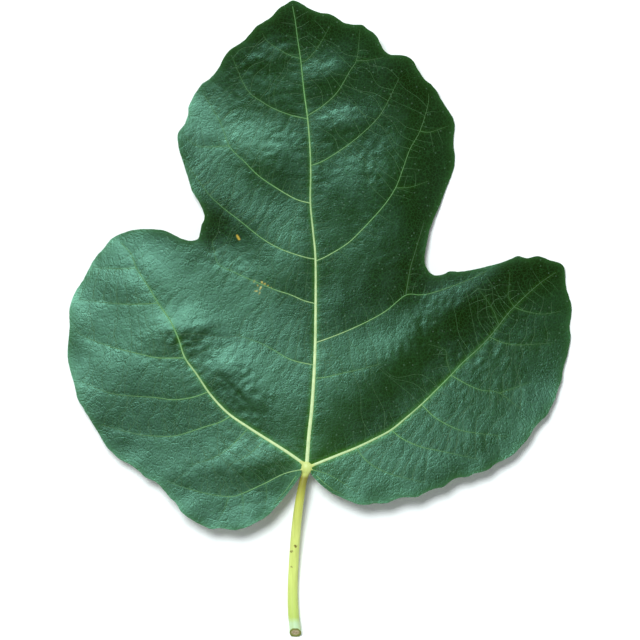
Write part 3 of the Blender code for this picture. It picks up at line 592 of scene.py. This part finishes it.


# where the green is darkened to olive as painted shade, where the blade turns from the light, and where rust
# has marked it: centre, reach along and across, turn, amount
paintedShadeZones = [
    (-28, 136, 14, 8, 35, 0.6), (35, 128, 14, 9, -40, 0.8), (0, 150, 22, 5, 0, 0.7),
    (42, 86, 6, 18, 0, 0.7), (70, 66, 20, 6, 8, 0.9), (-31, 80, 10, 6, 60, 1), (-37, 98, 4, 10, 0, 0.5),
    (50, 46, 12, 5, 42, 0.6), (22, 17, 16, 4, 38, 0.5), (33, 64, 12, 9, 20, 0.55), (-41, 42, 7, 3, 8, 0.35),
    (14, 57, 9, 9, 0, 0.3), (60, 0, 20, 4, 25, 0.3), (-30, -17, 16, 3, 0, 0.3), (66, 46, 8, 8, 0, 0.3),
    (12, 119, 7, 4, 5, 0.5), (-72, 14, 5, 12, -25, 0.4),
]
rustSpots = [
    (-22.9, 77, 0.3, 0.55, 20, 1.3), (-22.3, 76.2, 0.25, 0.3, 0, 1), (-15.4, 59.4, 1.3, 0.17, 75, 1),
    (-17, 58.9, 0.9, 0.15, 15, 0.8), (-14.4, 61.6, 1.1, 0.16, -35, 0.9), (-17.6, 62.2, 0.9, 0.16, 40, 0.8),
    (-12.6, 60.6, 1.2, 0.14, -28, 0.7), (-16.3, 61, 0.35, 0.3, 0, 0.8),
]


# veins on the upper face: low ribbons with rounded tops, wider and paler towards the hub
veinForm = {
    "mainWidth": {"midrib": (1.45, 0.68, 0.28), "left": (1.15, 0.6, 0.2), "right": (1.05, 0.42, 0.14)},
    "mainPale": {
        "midrib": (1.0, 0.94, 0.55, 0.22), "left": (1.0, 0.88, 0.37, 0.16), "right": (1.0, 0.68, 0.12, 0.02),
    },
    "sideWidth": (0.36, 0.12),
    "sidePale": {
        "basal": (0.6, 0.5, 0.15, 0.15, 0.15),
        "midribLeft": (0.6, 0.65, 0.65, 0.6, 0.2, 0.3, 0.18),
        "midribRight": (0.4, 0.7, 0.04, 0.6, 0.15, 0.15, 0.35, 0.25, 0.08, 0.1),
        "leftLobe": (0.26, 0.32, 0.42, 0.42, 0.42, 0.3, 0.24),
        "rightLobe": (0.32, 0.42, 0.42, 0.34, 0.14, 0.16, 0.14, 0.06, 0.05, 0.06),
    },
    "sideFade": (1.0, 0.7, 0.45, 0.2),
    "fullLength": 35.0,  # a side vein this long has the full width
    "mainEnd": 0.7, "sideEnd": 0.9,  # how near the margin they come
    "rungWidth": (0.16, 0.1), "rungPale": (0.08, 0.03),
    "marginWidth": (0.3, 0.2), "marginPale": (0.4, 0.34, 0.28, 0.1), "marginStep": 0.6,
    "margin": 1.1, "marginReach": (3.4, 17.0), "beside": 1.2, "below": 0.5,
    "rise": 0.17, "leastRise": 0.03, "sink": 0.12, "step": 0.8,
    # places across a ribbon: share of the half width, share of the rise or sink
    "profile": ((-1, -1), (-0.95, 0), (-0.55, 0.75), (0, 1), (0.55, 0.75), (0.95, 0), (1, -1)),
}


def ribbon(line, base, widths, pale, store):
    side, up = np.array(veinForm["profile"]).T
    rise = veinForm["rise"] * np.minimum(1.0, widths) + veinForm["leastRise"]
    lift = np.where(up > 0, rise[:, None], veinForm["sink"]) * up
    reach = widths[:, None] / 2 * side
    across = leftOf(np.gradient(line, axis=0))
    first = len(store["points"])
    count = len(side)
    places = line[:, None] + across[:, None] * reach[:, :, None]
    store["points"] += np.dstack([places, base[:, None] + lift]).reshape(-1, 3).tolist()
    store["pale"] += np.repeat(pale, count).tolist()
    last = first + (len(line) - 1) * count
    for ring in range(first, last, count):
        for a, b in zip(range(ring, ring + count), (*range(ring + 1, ring + count), ring)):
            store["faces"].append((a, b, b + count, a + count))
    store["faces"].append(tuple(reversed(range(first, first + count))))
    store["faces"].append(tuple(range(last, last + count)))


def heightsOf(lines, lift):  # height of the sheet under each point of many lines, worked out in one go
    heights = fineHeight(*np.vstack(lines).T) + lift
    return np.split(heights, np.cumsum([len(line) for line in lines])[:-1])


def taper(count, values):
    return np.interp(np.linspace(0, 1, count), np.linspace(0, 1, len(values)), values)


def marginLines():  # the two fine veins that follow the margin beside the stalk
    form = veinForm
    start, end = form["marginReach"]
    reach = np.hypot(*outline.T)
    lines = []
    for side in (-1, 1):
        beside = (outline[:, 0] * side > form["beside"]) & (outline[:, 1] < form["below"])
        near = outline[beside & (reach > start) & (reach < end)]
        near = near[np.argsort(np.hypot(*near.T))]
        inward = leftOf(np.gradient(near, axis=0)) * side
        lines.append(smoothLine((near + inward * form["margin"])[::3], form["marginStep"]))
    return lines


def makeUpperVeins():
    form = veinForm
    store = {"points": [], "faces": [], "pale": []}
    rows = []  # line, widths and paleness along it
    for name, vein in mainVeins.items():
        line = shortened(smoothLine(vein, form["step"]), form["mainEnd"])
        rows.append((line, form["mainWidth"][name], form["mainPale"][name]))
    wide, thin = form["sideWidth"]
    for group, veins in sideVeins.items():
        for vein, start in zip(veins, form["sidePale"][group]):
            line = shortened(smoothLine(vein, form["step"]), form["sideEnd"])
            size = min(1.0, len(line) * form["step"] / form["fullLength"])
            fade = [start * share for share in form["sideFade"]]
            rows.append((line, (thin + (wide - thin) * size, thin), fade))
    rows += [(line, form["marginWidth"], form["marginPale"]) for line in marginLines()]
    rows += [(line, form["rungWidth"], form["rungPale"]) for line in rungs]
    bases = heightsOf([row[0] for row in rows], leafForm["thick"] / 2)
    for (line, width, pale), base in zip(rows, bases):
        ribbon(line, base, taper(len(line), width), taper(len(line), pale), store)
    veins = newObject("upperVeins", store["points"], store["faces"])
    floatColour(veins, "veinMarks", (np.array(store["pale"]),))
    return veins


def feed(socket, value):  # a plain value goes on the socket itself, an output is linked to it
    if isinstance(value, (int, float, tuple)):
        socket.default_value = value
    else:
        socket.id_data.links.new(value, socket)


def addNode(tree, kind, inputs=None, **settings):  # each new node stands to the right of the last one
    node = tree.nodes.new(kind)
    node.location = (200 * len(tree.nodes), 0)
    for key, value in settings.items():
        setattr(node, key, value)
    for key, value in (inputs or {}).items():
        feed(node.inputs[key], value)
    return node


def objectPlace(tree):
    return addNode(tree, "ShaderNodeTexCoord").outputs["Object"]


def maths(tree, operation, first, second):
    return addNode(tree, "ShaderNodeMath", {0: first, 1: second}, operation=operation).outputs[0]


def vectorMaths(tree, operation, first, second):
    node = addNode(tree, "ShaderNodeVectorMath", {0: first, 1: second}, operation=operation)
    return node.outputs["Value" if operation == "DISTANCE" else "Vector"]


def mixColour(tree, first, second, share):
    return addNode(tree, "ShaderNodeMix", {0: share, 6: first, 7: second}, data_type="RGBA").outputs[2]


def spread(tree, value, low, high, toLow=0.0, toHigh=1.0, ease="LINEAR"):
    inputs = {"Value": value, "From Min": low, "From Max": high, "To Min": toLow, "To Max": toHigh}
    return addNode(tree, "ShaderNodeMapRange", inputs, interpolation_type=ease).outputs["Result"]


def noiseOf(tree, scale, stretch=(1, 1, 1), detail=3.0):
    mapping = addNode(tree, "ShaderNodeMapping", {"Vector": objectPlace(tree), "Scale": stretch})
    inputs = {"Vector": mapping.outputs["Vector"], "Scale": scale, "Detail": detail}
    return addNode(tree, "ShaderNodeTexNoise", inputs).outputs["Fac"]


def patches(tree, scale, low=0.0, high=1.0, span=0.2, **more):  # noise drawn out to run from low to high
    return spread(tree, noiseOf(tree, scale, **more), 0.5 - span, 0.5 + span, low, high)


def marksOf(tree, name):  # the four channels that a mesh carries under this name
    marks = addNode(tree, "ShaderNodeAttribute", attribute_name=name).outputs
    parts = addNode(tree, "ShaderNodeSeparateColor", {"Color": marks["Color"]}).outputs
    return parts["Red"], parts["Green"], parts["Blue"], marks["Alpha"]


def newGroup(name, inputs, outputs):
    tree = bpy.data.node_groups.new(name, "ShaderNodeTree")
    for key, value in inputs.items():
        socket = tree.interface.new_socket(key, in_out="INPUT", socket_type="NodeSocketFloat")
        socket.default_value = value
    for key in outputs:
        tree.interface.new_socket(key, in_out="OUTPUT", socket_type="NodeSocketFloat")
    return tree, addNode(tree, "NodeGroupInput").outputs, addNode(tree, "NodeGroupOutput").inputs


def useGroup(tree, group, inputs):
    return addNode(tree, "ShaderNodeGroup", inputs, node_tree=group).outputs


netForm = {
    "warpScale": 420.0, "warp": 0.0011, "line": 0.11, "cushion": 0.45, "dotScale": 520.0, "dot": (0.1, 0.17),
}


def cellGap(tree, place, scale, feature):
    inputs = {"Vector": place, "Scale": scale}
    return addNode(tree, "ShaderNodeTexVoronoi", inputs, feature=feature).outputs["Distance"]


def makeNetGroup():  # the fine net between the veins as lines and as small cushions, and fine dots
    form = netForm
    tree, start, end = newGroup("leafNet", {"Cell": 700.0}, ("Lines", "Cushion", "Glint"))
    place = objectPlace(tree)
    warp = addNode(tree, "ShaderNodeTexNoise", {"Vector": place, "Scale": form["warpScale"], "Detail": 2.0})
    shift = vectorMaths(tree, "SUBTRACT", warp.outputs["Color"], (0.5, 0.5, 0.5))
    shift = vectorMaths(tree, "MULTIPLY", shift, (form["warp"],) * 3)
    moved = vectorMaths(tree, "ADD", place, shift)
    cells = cellGap(tree, moved, start["Cell"], "DISTANCE_TO_EDGE")
    dots = cellGap(tree, place, form["dotScale"], "F1")
    feed(end["Lines"], spread(tree, cells, 0.0, form["line"], 1.0, 0.0, "SMOOTHSTEP"))
    feed(end["Cushion"], spread(tree, cells, 0.0, form["cushion"], ease="SMOOTHSTEP"))
    # the fine dots are used as painted glints
    feed(end["Glint"], spread(tree, dots, *form["dot"], 1.0, 0.0))
    return tree


wrinkleGrain = {"Detail": 2.0, "Roughness": 0.55, "Distortion": 0.25}
wrinkleShift = (0.13, 0.07, 0.0)  # keeps the four turns of the grain apart


def makeWrinkleGroup():  # fine creases that run square to the nearest veins
    tree, start, end = newGroup("veinWrinkles", {"Scale": 1000.0, "Stretch": 0.25}, ("Height",))
    place = objectPlace(tree)
    stretch = addNode(tree, "ShaderNodeCombineXYZ", {"X": start["Stretch"], "Y": 1.0, "Z": 1.0})
    total = 0.0
    for k, weight in enumerate(marksOf(tree, "wrinkleWay")):
        shift = tuple(k * part for part in wrinkleShift)
        turn = {"Rotation": (0, 0, math.radians(-45 * k)), "Location": shift}
        turned = addNode(tree, "ShaderNodeMapping", {"Vector": place, **turn}).outputs["Vector"]
        drawn = vectorMaths(tree, "MULTIPLY", turned, stretch.outputs["Vector"])
        grain = {"Vector": drawn, "Scale": start["Scale"], **wrinkleGrain}
        grain = addNode(tree, "ShaderNodeTexNoise", grain)
        total = maths(tree, "ADD", total, maths(tree, "MULTIPLY", grain.outputs["Fac"], weight))
    feed(end["Height"], total)
    return tree


def newMaterial(name):
    material = bpy.data.materials.new(name)
    material.use_nodes = True
    return material, material.node_tree


def finishMaterial(material, colour, rough, height=None, bump=(1.0, 0.0001), more=None):
    tree = material.node_tree
    shader = tree.nodes["Principled BSDF"]
    inputs = {"Base Color": colour, "Roughness": rough, **(more or {})}
    if height is not None:
        relief = {"Height": height, "Strength": bump[0], "Distance": bump[1]}
        inputs["Normal"] = addNode(tree, "ShaderNodeBump", relief).outputs["Normal"]
    for key, value in inputs.items():
        feed(shader.inputs[key], value)
    return material


upperFinish = {
    "dark": (0.0055, 0.018, 0.0010, 1), "mid": (0.0080, 0.0265, 0.0022, 1), "patchScale": 45.0,
    # colour and strength of each layer over the green; the darker olive layer is painted shade where the
    # blade turns from the light, and the pale dot layer is painted glints
    # colour of the painted shade
    "paintedShade": ((0.0056, 0.0135, 0.0002, 1), 1.0),
    "net": ((0.02, 0.08, 0.018, 1), 0.4),
    "edge": ((0.04, 0.13, 0.03, 1), 0.5),
    "glow": ((0.045, 0.155, 0.008, 1), 0.8),
    # painted highlight: pale dots standing for glints on the tiny hair bases
    "speckAndGlint": ((0.22, 0.36, 0.25, 1), 0.16),
    "rust": (0.40, 0.27, 0.03, 1), "rustFrom": (0.25, 0.7),
    "roughness": (160.0, 0.245, 0.325), "shadeZoneRoughness": -0.03,
    "sheen": {"Specular IOR Level": 0.42, "Specular Tint": (0.43, 1.0, 0.76, 1)},
    "cell": 900.0, "cushion": 0.22, "wideCell": 400.0, "groove": 0.24,
    "wrinkles": {"Scale": 3000.0, "Stretch": 0.45}, "bump": (1.0, 0.000034),
}


def makeUpperMaterial(net, creases):
    finish = upperFinish
    material, tree = newMaterial("leafUpper")
    # the second channel is painted shade
    glow, paintedShade, edge, rust = marksOf(tree, "bladeMarksAndShade")
    small = useGroup(tree, net, {"Cell": finish["cell"]})
    wide = useGroup(tree, net, {"Cell": finish["wideCell"]})
    crease = useGroup(tree, creases, finish["wrinkles"])
    broad = patches(tree, finish["patchScale"], span=0.15, detail=4.0)
    colour = mixColour(tree, finish["dark"], finish["mid"], broad)
    # the olive layer is painted shade, and the pale dot layer is painted glints
    layers = {"paintedShade": paintedShade, "net": small["Lines"], "edge": edge, "glow": glow, "speckAndGlint": small["Glint"]}
    for name, mark in layers.items():
        layer, strength = finish[name]
        colour = mixColour(tree, colour, layer, maths(tree, "MULTIPLY", mark, strength))
    colour = mixColour(tree, colour, finish["rust"], spread(tree, rust, *finish["rustFrom"]))
    rough = patches(tree, *finish["roughness"])
    rough = maths(tree, "ADD", rough, maths(tree, "MULTIPLY", paintedShade, finish["shadeZoneRoughness"]))
    cushions = maths(tree, "MULTIPLY", small["Cushion"], finish["cushion"])
    grooves = maths(tree, "MULTIPLY", wide["Lines"], finish["groove"])
    height = maths(tree, "ADD", crease["Height"], cushions)
    height = maths(tree, "SUBTRACT", height, grooves)
    return finishMaterial(material, colour, rough, height, finish["bump"], finish["sheen"])


underFinish = {
    "base": (0.17, 0.30, 0.12, 1), "deep": (0.12, 0.24, 0.09, 1), "net": (0.34, 0.46, 0.22, 1),
    "patchScale": 60.0, "cell": 650.0, "netShare": 0.8, "roughness": (0.72, 0.62), "bump": (0.9, 0.0002),
}


def makeUnderMaterial(net):
    finish = underFinish
    material, tree = newMaterial("leafUnder")
    cells = useGroup(tree, net, {"Cell": finish["cell"]})
    colour = mixColour(tree, finish["base"], finish["deep"], patches(tree, finish["patchScale"], span=0.15))
    lines = maths(tree, "MULTIPLY", cells["Lines"], finish["netShare"])
    colour = mixColour(tree, colour, finish["net"], lines)
    rough = spread(tree, cells["Cushion"], 0, 1, *finish["roughness"])
    return finishMaterial(material, colour, rough, cells["Lines"], finish["bump"])


veinFinish = {
    "green": (0.014, 0.062, 0.014, 1), "light": (0.11, 0.28, 0.08, 1), "pale": (0.505, 0.635, 0.305, 1),
    "lightFrom": (0.0, 0.4), "paleFrom": (0.4, 1.0), "mottle": (0.85, 1.1), "mottleScale": 500.0,
    "roughness": (0.53, 0.43), "grain": 1500.0, "bump": (0.4, 0.0001),
}


def makeVeinMaterial():
    finish = veinFinish
    material, tree = newMaterial("leafVein")
    mottle = patches(tree, finish["mottleScale"], *finish["mottle"])
    pale = maths(tree, "MULTIPLY", marksOf(tree, "veinMarks")[0], mottle)
    colour = mixColour(tree, finish["green"], finish["light"], spread(tree, pale, *finish["lightFrom"]))
    colour = mixColour(tree, colour, finish["pale"], spread(tree, pale, *finish["paleFrom"]))
    rough = spread(tree, mottle, *finish["mottle"], *finish["roughness"])
    return finishMaterial(material, colour, rough, noiseOf(tree, finish["grain"]), finish["bump"])


stalkFinish = {
    # place between the cut end and the hub, and colour there; the darker colours from 0.80 to 0.935 are the
    # stalk's own brown with painted shade where it runs under the blade
    "ramp": [(0.0, (0.50, 0.68, 0.36, 1)), (0.085, (0.50, 0.70, 0.42, 1)), (0.12, (0.46, 0.60, 0.12, 1)),
             (0.35, (0.63, 0.74, 0.18, 1)), (0.62, (0.68, 0.76, 0.20, 1)), (0.80, (0.50, 0.53, 0.08, 1)),
             (0.89, (0.25, 0.23, 0.02, 1)), (0.935, (0.20, 0.165, 0.014, 1)), (0.955, (0.53, 0.59, 0.15, 1)),
             (1.0, (0.55, 0.64, 0.21, 1))],
    "ends": (-56.7, 0.5),
    "streak": (0.33, 0.36, 0.05, 1), "streaks": (900.0, 0.0, 0.45), "streakStretch": (1, 0.06, 1),
    # place, radius and strength of the dark specks, each fading out at twice its radius
    "specks": [(-3.6, -26.0, 0.3, 1.0), (-5.0, -27.8, 0.25, 0.8), (-5.0, -33.0, 0.15, 0.7)],
    "speckAndGlint": (0.15, 0.11, 0.01, 1), "ragged": (1600.0, -0.0003, 0.0003),
    "roughness": (0.0, 0.35, 0.42, 0.54),
    "grain": 1300.0, "grainStretch": (1, 0.05, 1), "bump": (0.5, 0.00012),
}


def makeStalkMaterial():
    finish = stalkFinish
    material, tree = newMaterial("leafStalk")
    place = objectPlace(tree)
    along = addNode(tree, "ShaderNodeSeparateXYZ", {"Vector": place}).outputs["Y"]
    ends = [placeOf(0.0, end)[1] for end in finish["ends"]]
    ramp = addNode(tree, "ShaderNodeValToRGB", {"Fac": spread(tree, along, *ends)})
    elements = ramp.color_ramp.elements
    while len(elements) < len(finish["ramp"]):
        elements.new(0.5)
    for element, (position, colour) in zip(elements, finish["ramp"]):
        element.position = position
        element.color = colour
    streak = patches(tree, *finish["streaks"], stretch=finish["streakStretch"])
    colour = mixColour(tree, ramp.outputs["Color"], finish["streak"], streak)
    plan = vectorMaths(tree, "MULTIPLY", place, (1, 1, 0))
    ragged = patches(tree, *finish["ragged"])
    for x, y, radius, strength in finish["specks"]:
        gap = maths(tree, "ADD", vectorMaths(tree, "DISTANCE", plan, placeOf(x, y, 0.0)), ragged)
        spot = spread(tree, gap, radius / 1000, 2 * radius / 1000, strength, 0.0)
        colour = mixColour(tree, colour, finish["speckAndGlint"], spot)
    rough = spread(tree, streak, *finish["roughness"])
    grain = noiseOf(tree, finish["grain"], finish["grainStretch"])
    return finishMaterial(material, colour, rough, grain, finish["bump"])


ribFinish = {
    "dull": (0.36, 0.50, 0.16, 1), "pale": (0.52, 0.64, 0.27, 1), "mottleScale": 350.0,
    "roughness": (0.62, 0.5), "grain": 1500.0, "bump": (0.5, 0.0001),
}


def makeRibMaterial():
    finish = ribFinish
    material, tree = newMaterial("leafRib")
    mottle = patches(tree, finish["mottleScale"])
    colour = mixColour(tree, finish["dull"], finish["pale"], mottle)
    rough = spread(tree, mottle, 0, 1, *finish["roughness"])
    return finishMaterial(material, colour, rough, noiseOf(tree, finish["grain"]), finish["bump"])


cutFinish = {
    "dark": (0.30, 0.22, 0.10, 1), "pale": (0.52, 0.45, 0.27, 1), "fleckScale": 1800.0,
    "rim": (0.20, 0.23, 0.03, 1), "centre": (-3.7, -54.8, 2.0), "rimFrom": (0.0011, 0.0016),
    "roughness": (0.7, 0.85), "bump": (0.8, 0.0002),
}


def makeCutMaterial():  # flecked pith with a green rim
    finish = cutFinish
    material, tree = newMaterial("cutEnd")
    fleck = patches(tree, finish["fleckScale"], span=0.15)
    gap = vectorMaths(tree, "DISTANCE", objectPlace(tree), placeOf(*finish["centre"]))
    colour = mixColour(tree, finish["dark"], finish["pale"], fleck)
    colour = mixColour(tree, colour, finish["rim"], spread(tree, gap, *finish["rimFrom"]))
    rough = spread(tree, fleck, 0, 1, *finish["roughness"])
    return finishMaterial(material, colour, rough, fleck, finish["bump"])


net = makeNetGroup()
upperMaterial = makeUpperMaterial(net, makeWrinkleGroup())
underMaterial = makeUnderMaterial(net)

blade = makeBlade()
blade.data.materials.append(upperMaterial)
blade.data.materials.append(underMaterial)
applyAll(blade)
editWhole(bpy.ops.mesh.delete_loose)
finishPiece(blade, "blade")

upperVeins = makeUpperVeins()
upperVeins.data.materials.append(makeVeinMaterial())
finishPiece(upperVeins, "upper veins")


# stalk, hub and the starts of the veins: tubes along their lines, rounded together at the hub
stalkForm = {
    # place and radius from the hub to the cut end
    "line": [(0.0, -0.2, 1.3), (-0.5, -2.3, 1.3), (-1.2, -4.7, 1.33), (-1.8, -8.0, 1.43),
             (-2.5, -12.3, 1.52), (-3.5, -20.7, 1.6), (-4.2, -30.7, 1.66), (-4.6, -40.7, 1.73),
             (-4.4, -48.3, 1.83), (-3.9, -52.7, 1.88), (-3.7, -55.2, 1.98), (-3.7, -56.5, 1.98)],
    "sink": 0.9,  # how far the stalk starts under the hub
    "foot": 12.0,  # length that lies on the surface
    "clear": 0.02,
    # points, radii at the start, at 0.4 and at the end, and lift over the blade at both ends
    "mainStart": (9, (0.8, 0.62, 0.36), (0.345, 0.145)),
    "basalStart": (4, (0.42, 0.332, 0.2), (0.16, 0.16)),
    "knob": (0.0, 0.3, -0.58),  # place in plan, and height over the blade's middle at the hub
    "knobSize": (2.2, 2.4, 1.65),
    "voxel": 0.00021,
    "cut": (-3.7, -56.2, 0.6),
    "cutWay": (0, -0.75, 0.66),
    "cutFrom": -52.0,
}


def tube(name, line, radii, sides=4):
    curve = bpy.data.curves.new(name, "CURVE")
    curve.dimensions = "3D"
    curve.bevel_depth = 0.001
    curve.bevel_resolution = sides
    curve.use_fill_caps = True
    spline = curve.splines.new("POLY")
    spline.points.add(len(line) - 1)
    for point, place, radius in zip(spline.points, toWorld(line).tolist(), radii):
        point.co = (*place, 1.0)
        point.radius = radius
    return addObject(name, curve)


def joined(name, pieces):
    pick(*pieces)
    bpy.ops.object.convert(target="MESH")
    bpy.ops.object.join()
    editWhole(bpy.ops.mesh.remove_doubles, threshold=0.000001)
    whole = bpy.context.view_layer.objects.active
    whole.name = name
    whole.data.name = name
    return whole


def veinStart(name, vein, shape, size=1.0):
    count, radii, lift = shape
    line = smoothLine(vein, 0.6)[:count]
    share = np.linspace(0, 1, count)
    radii = size * np.interp(share, (0, 0.4, 1), radii)
    z = heightsOf([line], leafForm["thick"] / 2)[0] - radii + np.interp(share, (0, 1), lift)
    return tube(name, np.column_stack([line, z]), radii)


def makeStalk():
    form = stalkForm
    line = smoothLine(form["line"], 0.8)
    hubTop = float(bladeHeight(np.array([0.0]), np.array([0.0]))[0])
    lengths = np.concatenate([[0], np.cumsum(np.hypot(*np.diff(line[:, :2], axis=0).T))])
    drop = np.clip(lengths / (lengths[-1] - form["foot"]), 0, 1)
    ease = 1 - (1 - drop)**2 * (1 + 2 * drop)
    z = (hubTop - form["sink"]) * (1 - ease) + (line[:, 2] + form["clear"]) * ease
    pieces = [tube("stalk", np.column_stack([line[:, :2], z]), line[:, 2], 8)]
    for name, vein in mainVeins.items():
        pieces.append(veinStart(name + "Start", vein, form["mainStart"], veinForm["mainWidth"][name][0]))
    for vein in sideVeins["basal"][:2]:
        pieces.append(veinStart("basalStart", vein, form["basalStart"]))
    bpy.ops.object.select_all(action="DESELECT")
    x, y, sink = form["knob"]
    middle = placeOf(x, y, hubTop + sink)
    bpy.ops.mesh.primitive_uv_sphere_add(segments=32, ring_count=16, radius=0.001, location=middle)
    knob = bpy.context.object
    knob.scale = form["knobSize"]
    bpy.ops.object.transform_apply(location=True, rotation=True, scale=True)
    whole = joined("leafStalk", pieces + [knob])
    remesh = whole.modifiers.new("fuse", "REMESH")
    remesh.mode = "VOXEL"
    remesh.voxel_size = form["voxel"]
    soften = whole.modifiers.new("soften", "SMOOTH")
    soften.factor = 0.5
    soften.iterations = 6
    applyAll(whole)
    return whole


stalk = makeStalk()
for vertex in stalk.data.vertices:
    vertex.co.z = max(vertex.co.z, 0.0)
stalk.data.materials.append(makeStalkMaterial())
stalk.data.materials.append(makeCutMaterial())
# the end is cut aslant, and the cut shows from above
editWhole(bpy.ops.mesh.bisect, plane_co=placeOf(*stalkForm["cut"]), plane_no=stalkForm["cutWay"],
          use_fill=True, clear_outer=True)
stalk.data.validate()
editWhole(bpy.ops.mesh.fill_holes, sides=8)
cutFrom = placeOf(0.0, stalkForm["cutFrom"])[1]
for polygon in stalk.data.polygons:
    facesCut = polygon.normal.y < -0.7 and polygon.normal.z > 0.6
    polygon.material_index = 1 if facesCut and polygon.center.y < cutFrom else 0
finishPiece(stalk, "stalk")


# ribs under the blade, tapering outwards: radii from start to end and roundness
ribForm = {
    "main": ((1.15, 0.42), 3), "side": ((0.5, 0.22), 2), "rung": ((0.13, 0.13), 1),
    "step": 1.2, "edge": 3.0, "sunk": 0.5, "deepest": 0.4, "clear": 0.05,
}


def makeUnderRibs():
    form = ribForm
    rows = []
    for kind, veins in (("main", mainVeins.values()), ("side", allSides)):
        rows += [(shortened(smoothLine(vein, form["step"]), form["edge"]), *form[kind]) for vein in veins]
    rows += [(line, *form["rung"]) for line in rungs]
    bases = heightsOf([row[0] for row in rows], -leafForm["thick"] / 2)
    pieces = []
    for (line, size, sides), base in zip(rows, bases):
        radius = taper(len(line), size)
        low = base - np.maximum(radius * form["sunk"], radius - form["deepest"])
        low = np.maximum(low, radius + form["clear"])
        pieces.append(tube("rib", np.column_stack([line, low]), radius, sides))
    return joined("underRibs", pieces)


underRibs = makeUnderRibs()
underRibs.data.materials.append(makeRibMaterial())
finishPiece(underRibs, "under ribs")

for piece, node, slot in ((blade, "leaf_blade", "blade"), (upperVeins, "leaf_blade", "blade"),
                          (stalk, "leaf_stalk", "stalk"), (underRibs, "leaf_stalk", "stalk")):
    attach(piece, "root")
    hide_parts(node)

# floor, light and camera
studio = {
    "lens": 300.0, "sensor": 36.0, "view": 213.33, "aim": (0.07, -0.17), "leafTop": 0.004,
    "keySize": (1.3, 1.0), "keyPlace": (-0.635, 1.147, 3.245), "keyPower": 130.0,
    "keyColour": (0.92, 0.99, 1.0),
    "fill": (1.0, 0.03), "fillFrom": (0.35, 0.9), "fillColour": (0.93, 0.97, 1.0, 1),
    "floor": (0.93, 0.93, 0.93, 1), "floorRoughness": (300.0, 0.82, 0.9),
}
bpy.ops.object.select_all(action="DESELECT")
bpy.ops.mesh.primitive_plane_add(size=4.0, location=(0, 0, 0))
floor = bpy.context.object
floor.name = "floor"
paleFloor, floorTree = newMaterial("paleFloor")
grain = patches(floorTree, *studio["floorRoughness"])
finishMaterial(paleFloor, studio["floor"], grain, more={"Specular IOR Level": 0.0})
floor.data.materials.append(paleFloor)

lamp = bpy.data.lights.new("softbox", "AREA")
lamp.shape = "RECTANGLE"
lamp.size, lamp.size_y = studio["keySize"]
lamp.energy = studio["keyPower"]
lamp.color = studio["keyColour"]
softbox = addObject("softbox", lamp)
softbox.location = studio["keyPlace"]
softbox.rotation_euler = Vector(studio["keyPlace"]).to_track_quat("Z", "Y").to_euler()

# the fill comes from low around the leaf, so that the room puts little sheen on it
world = bpy.data.worlds.new("studio")
world.use_nodes = True
sky = world.node_tree
way = addNode(sky, "ShaderNodeTexCoord").outputs["Generated"]
height = addNode(sky, "ShaderNodeSeparateXYZ", {"Vector": way}).outputs["Z"]
background = sky.nodes["Background"]
feed(background.inputs["Strength"], spread(sky, height, *studio["fillFrom"], *studio["fill"]))
feed(background.inputs["Color"], studio["fillColour"])
bpy.context.scene.world = world

lens = bpy.data.cameras.new("camera")
lens.lens = studio["lens"]
lens.sensor_width = studio["sensor"]
lens.clip_start = 0.01
camera = addObject("camera", lens)
distance = studio["lens"] / studio["sensor"] * studio["view"] / 1000
camera.location = (studio["aim"][0] / 1000, studio["aim"][1] / 1000, distance + studio["leafTop"])
bpy.context.scene.camera = camera
bpy.context.scene.view_settings.view_transform = "Standard"
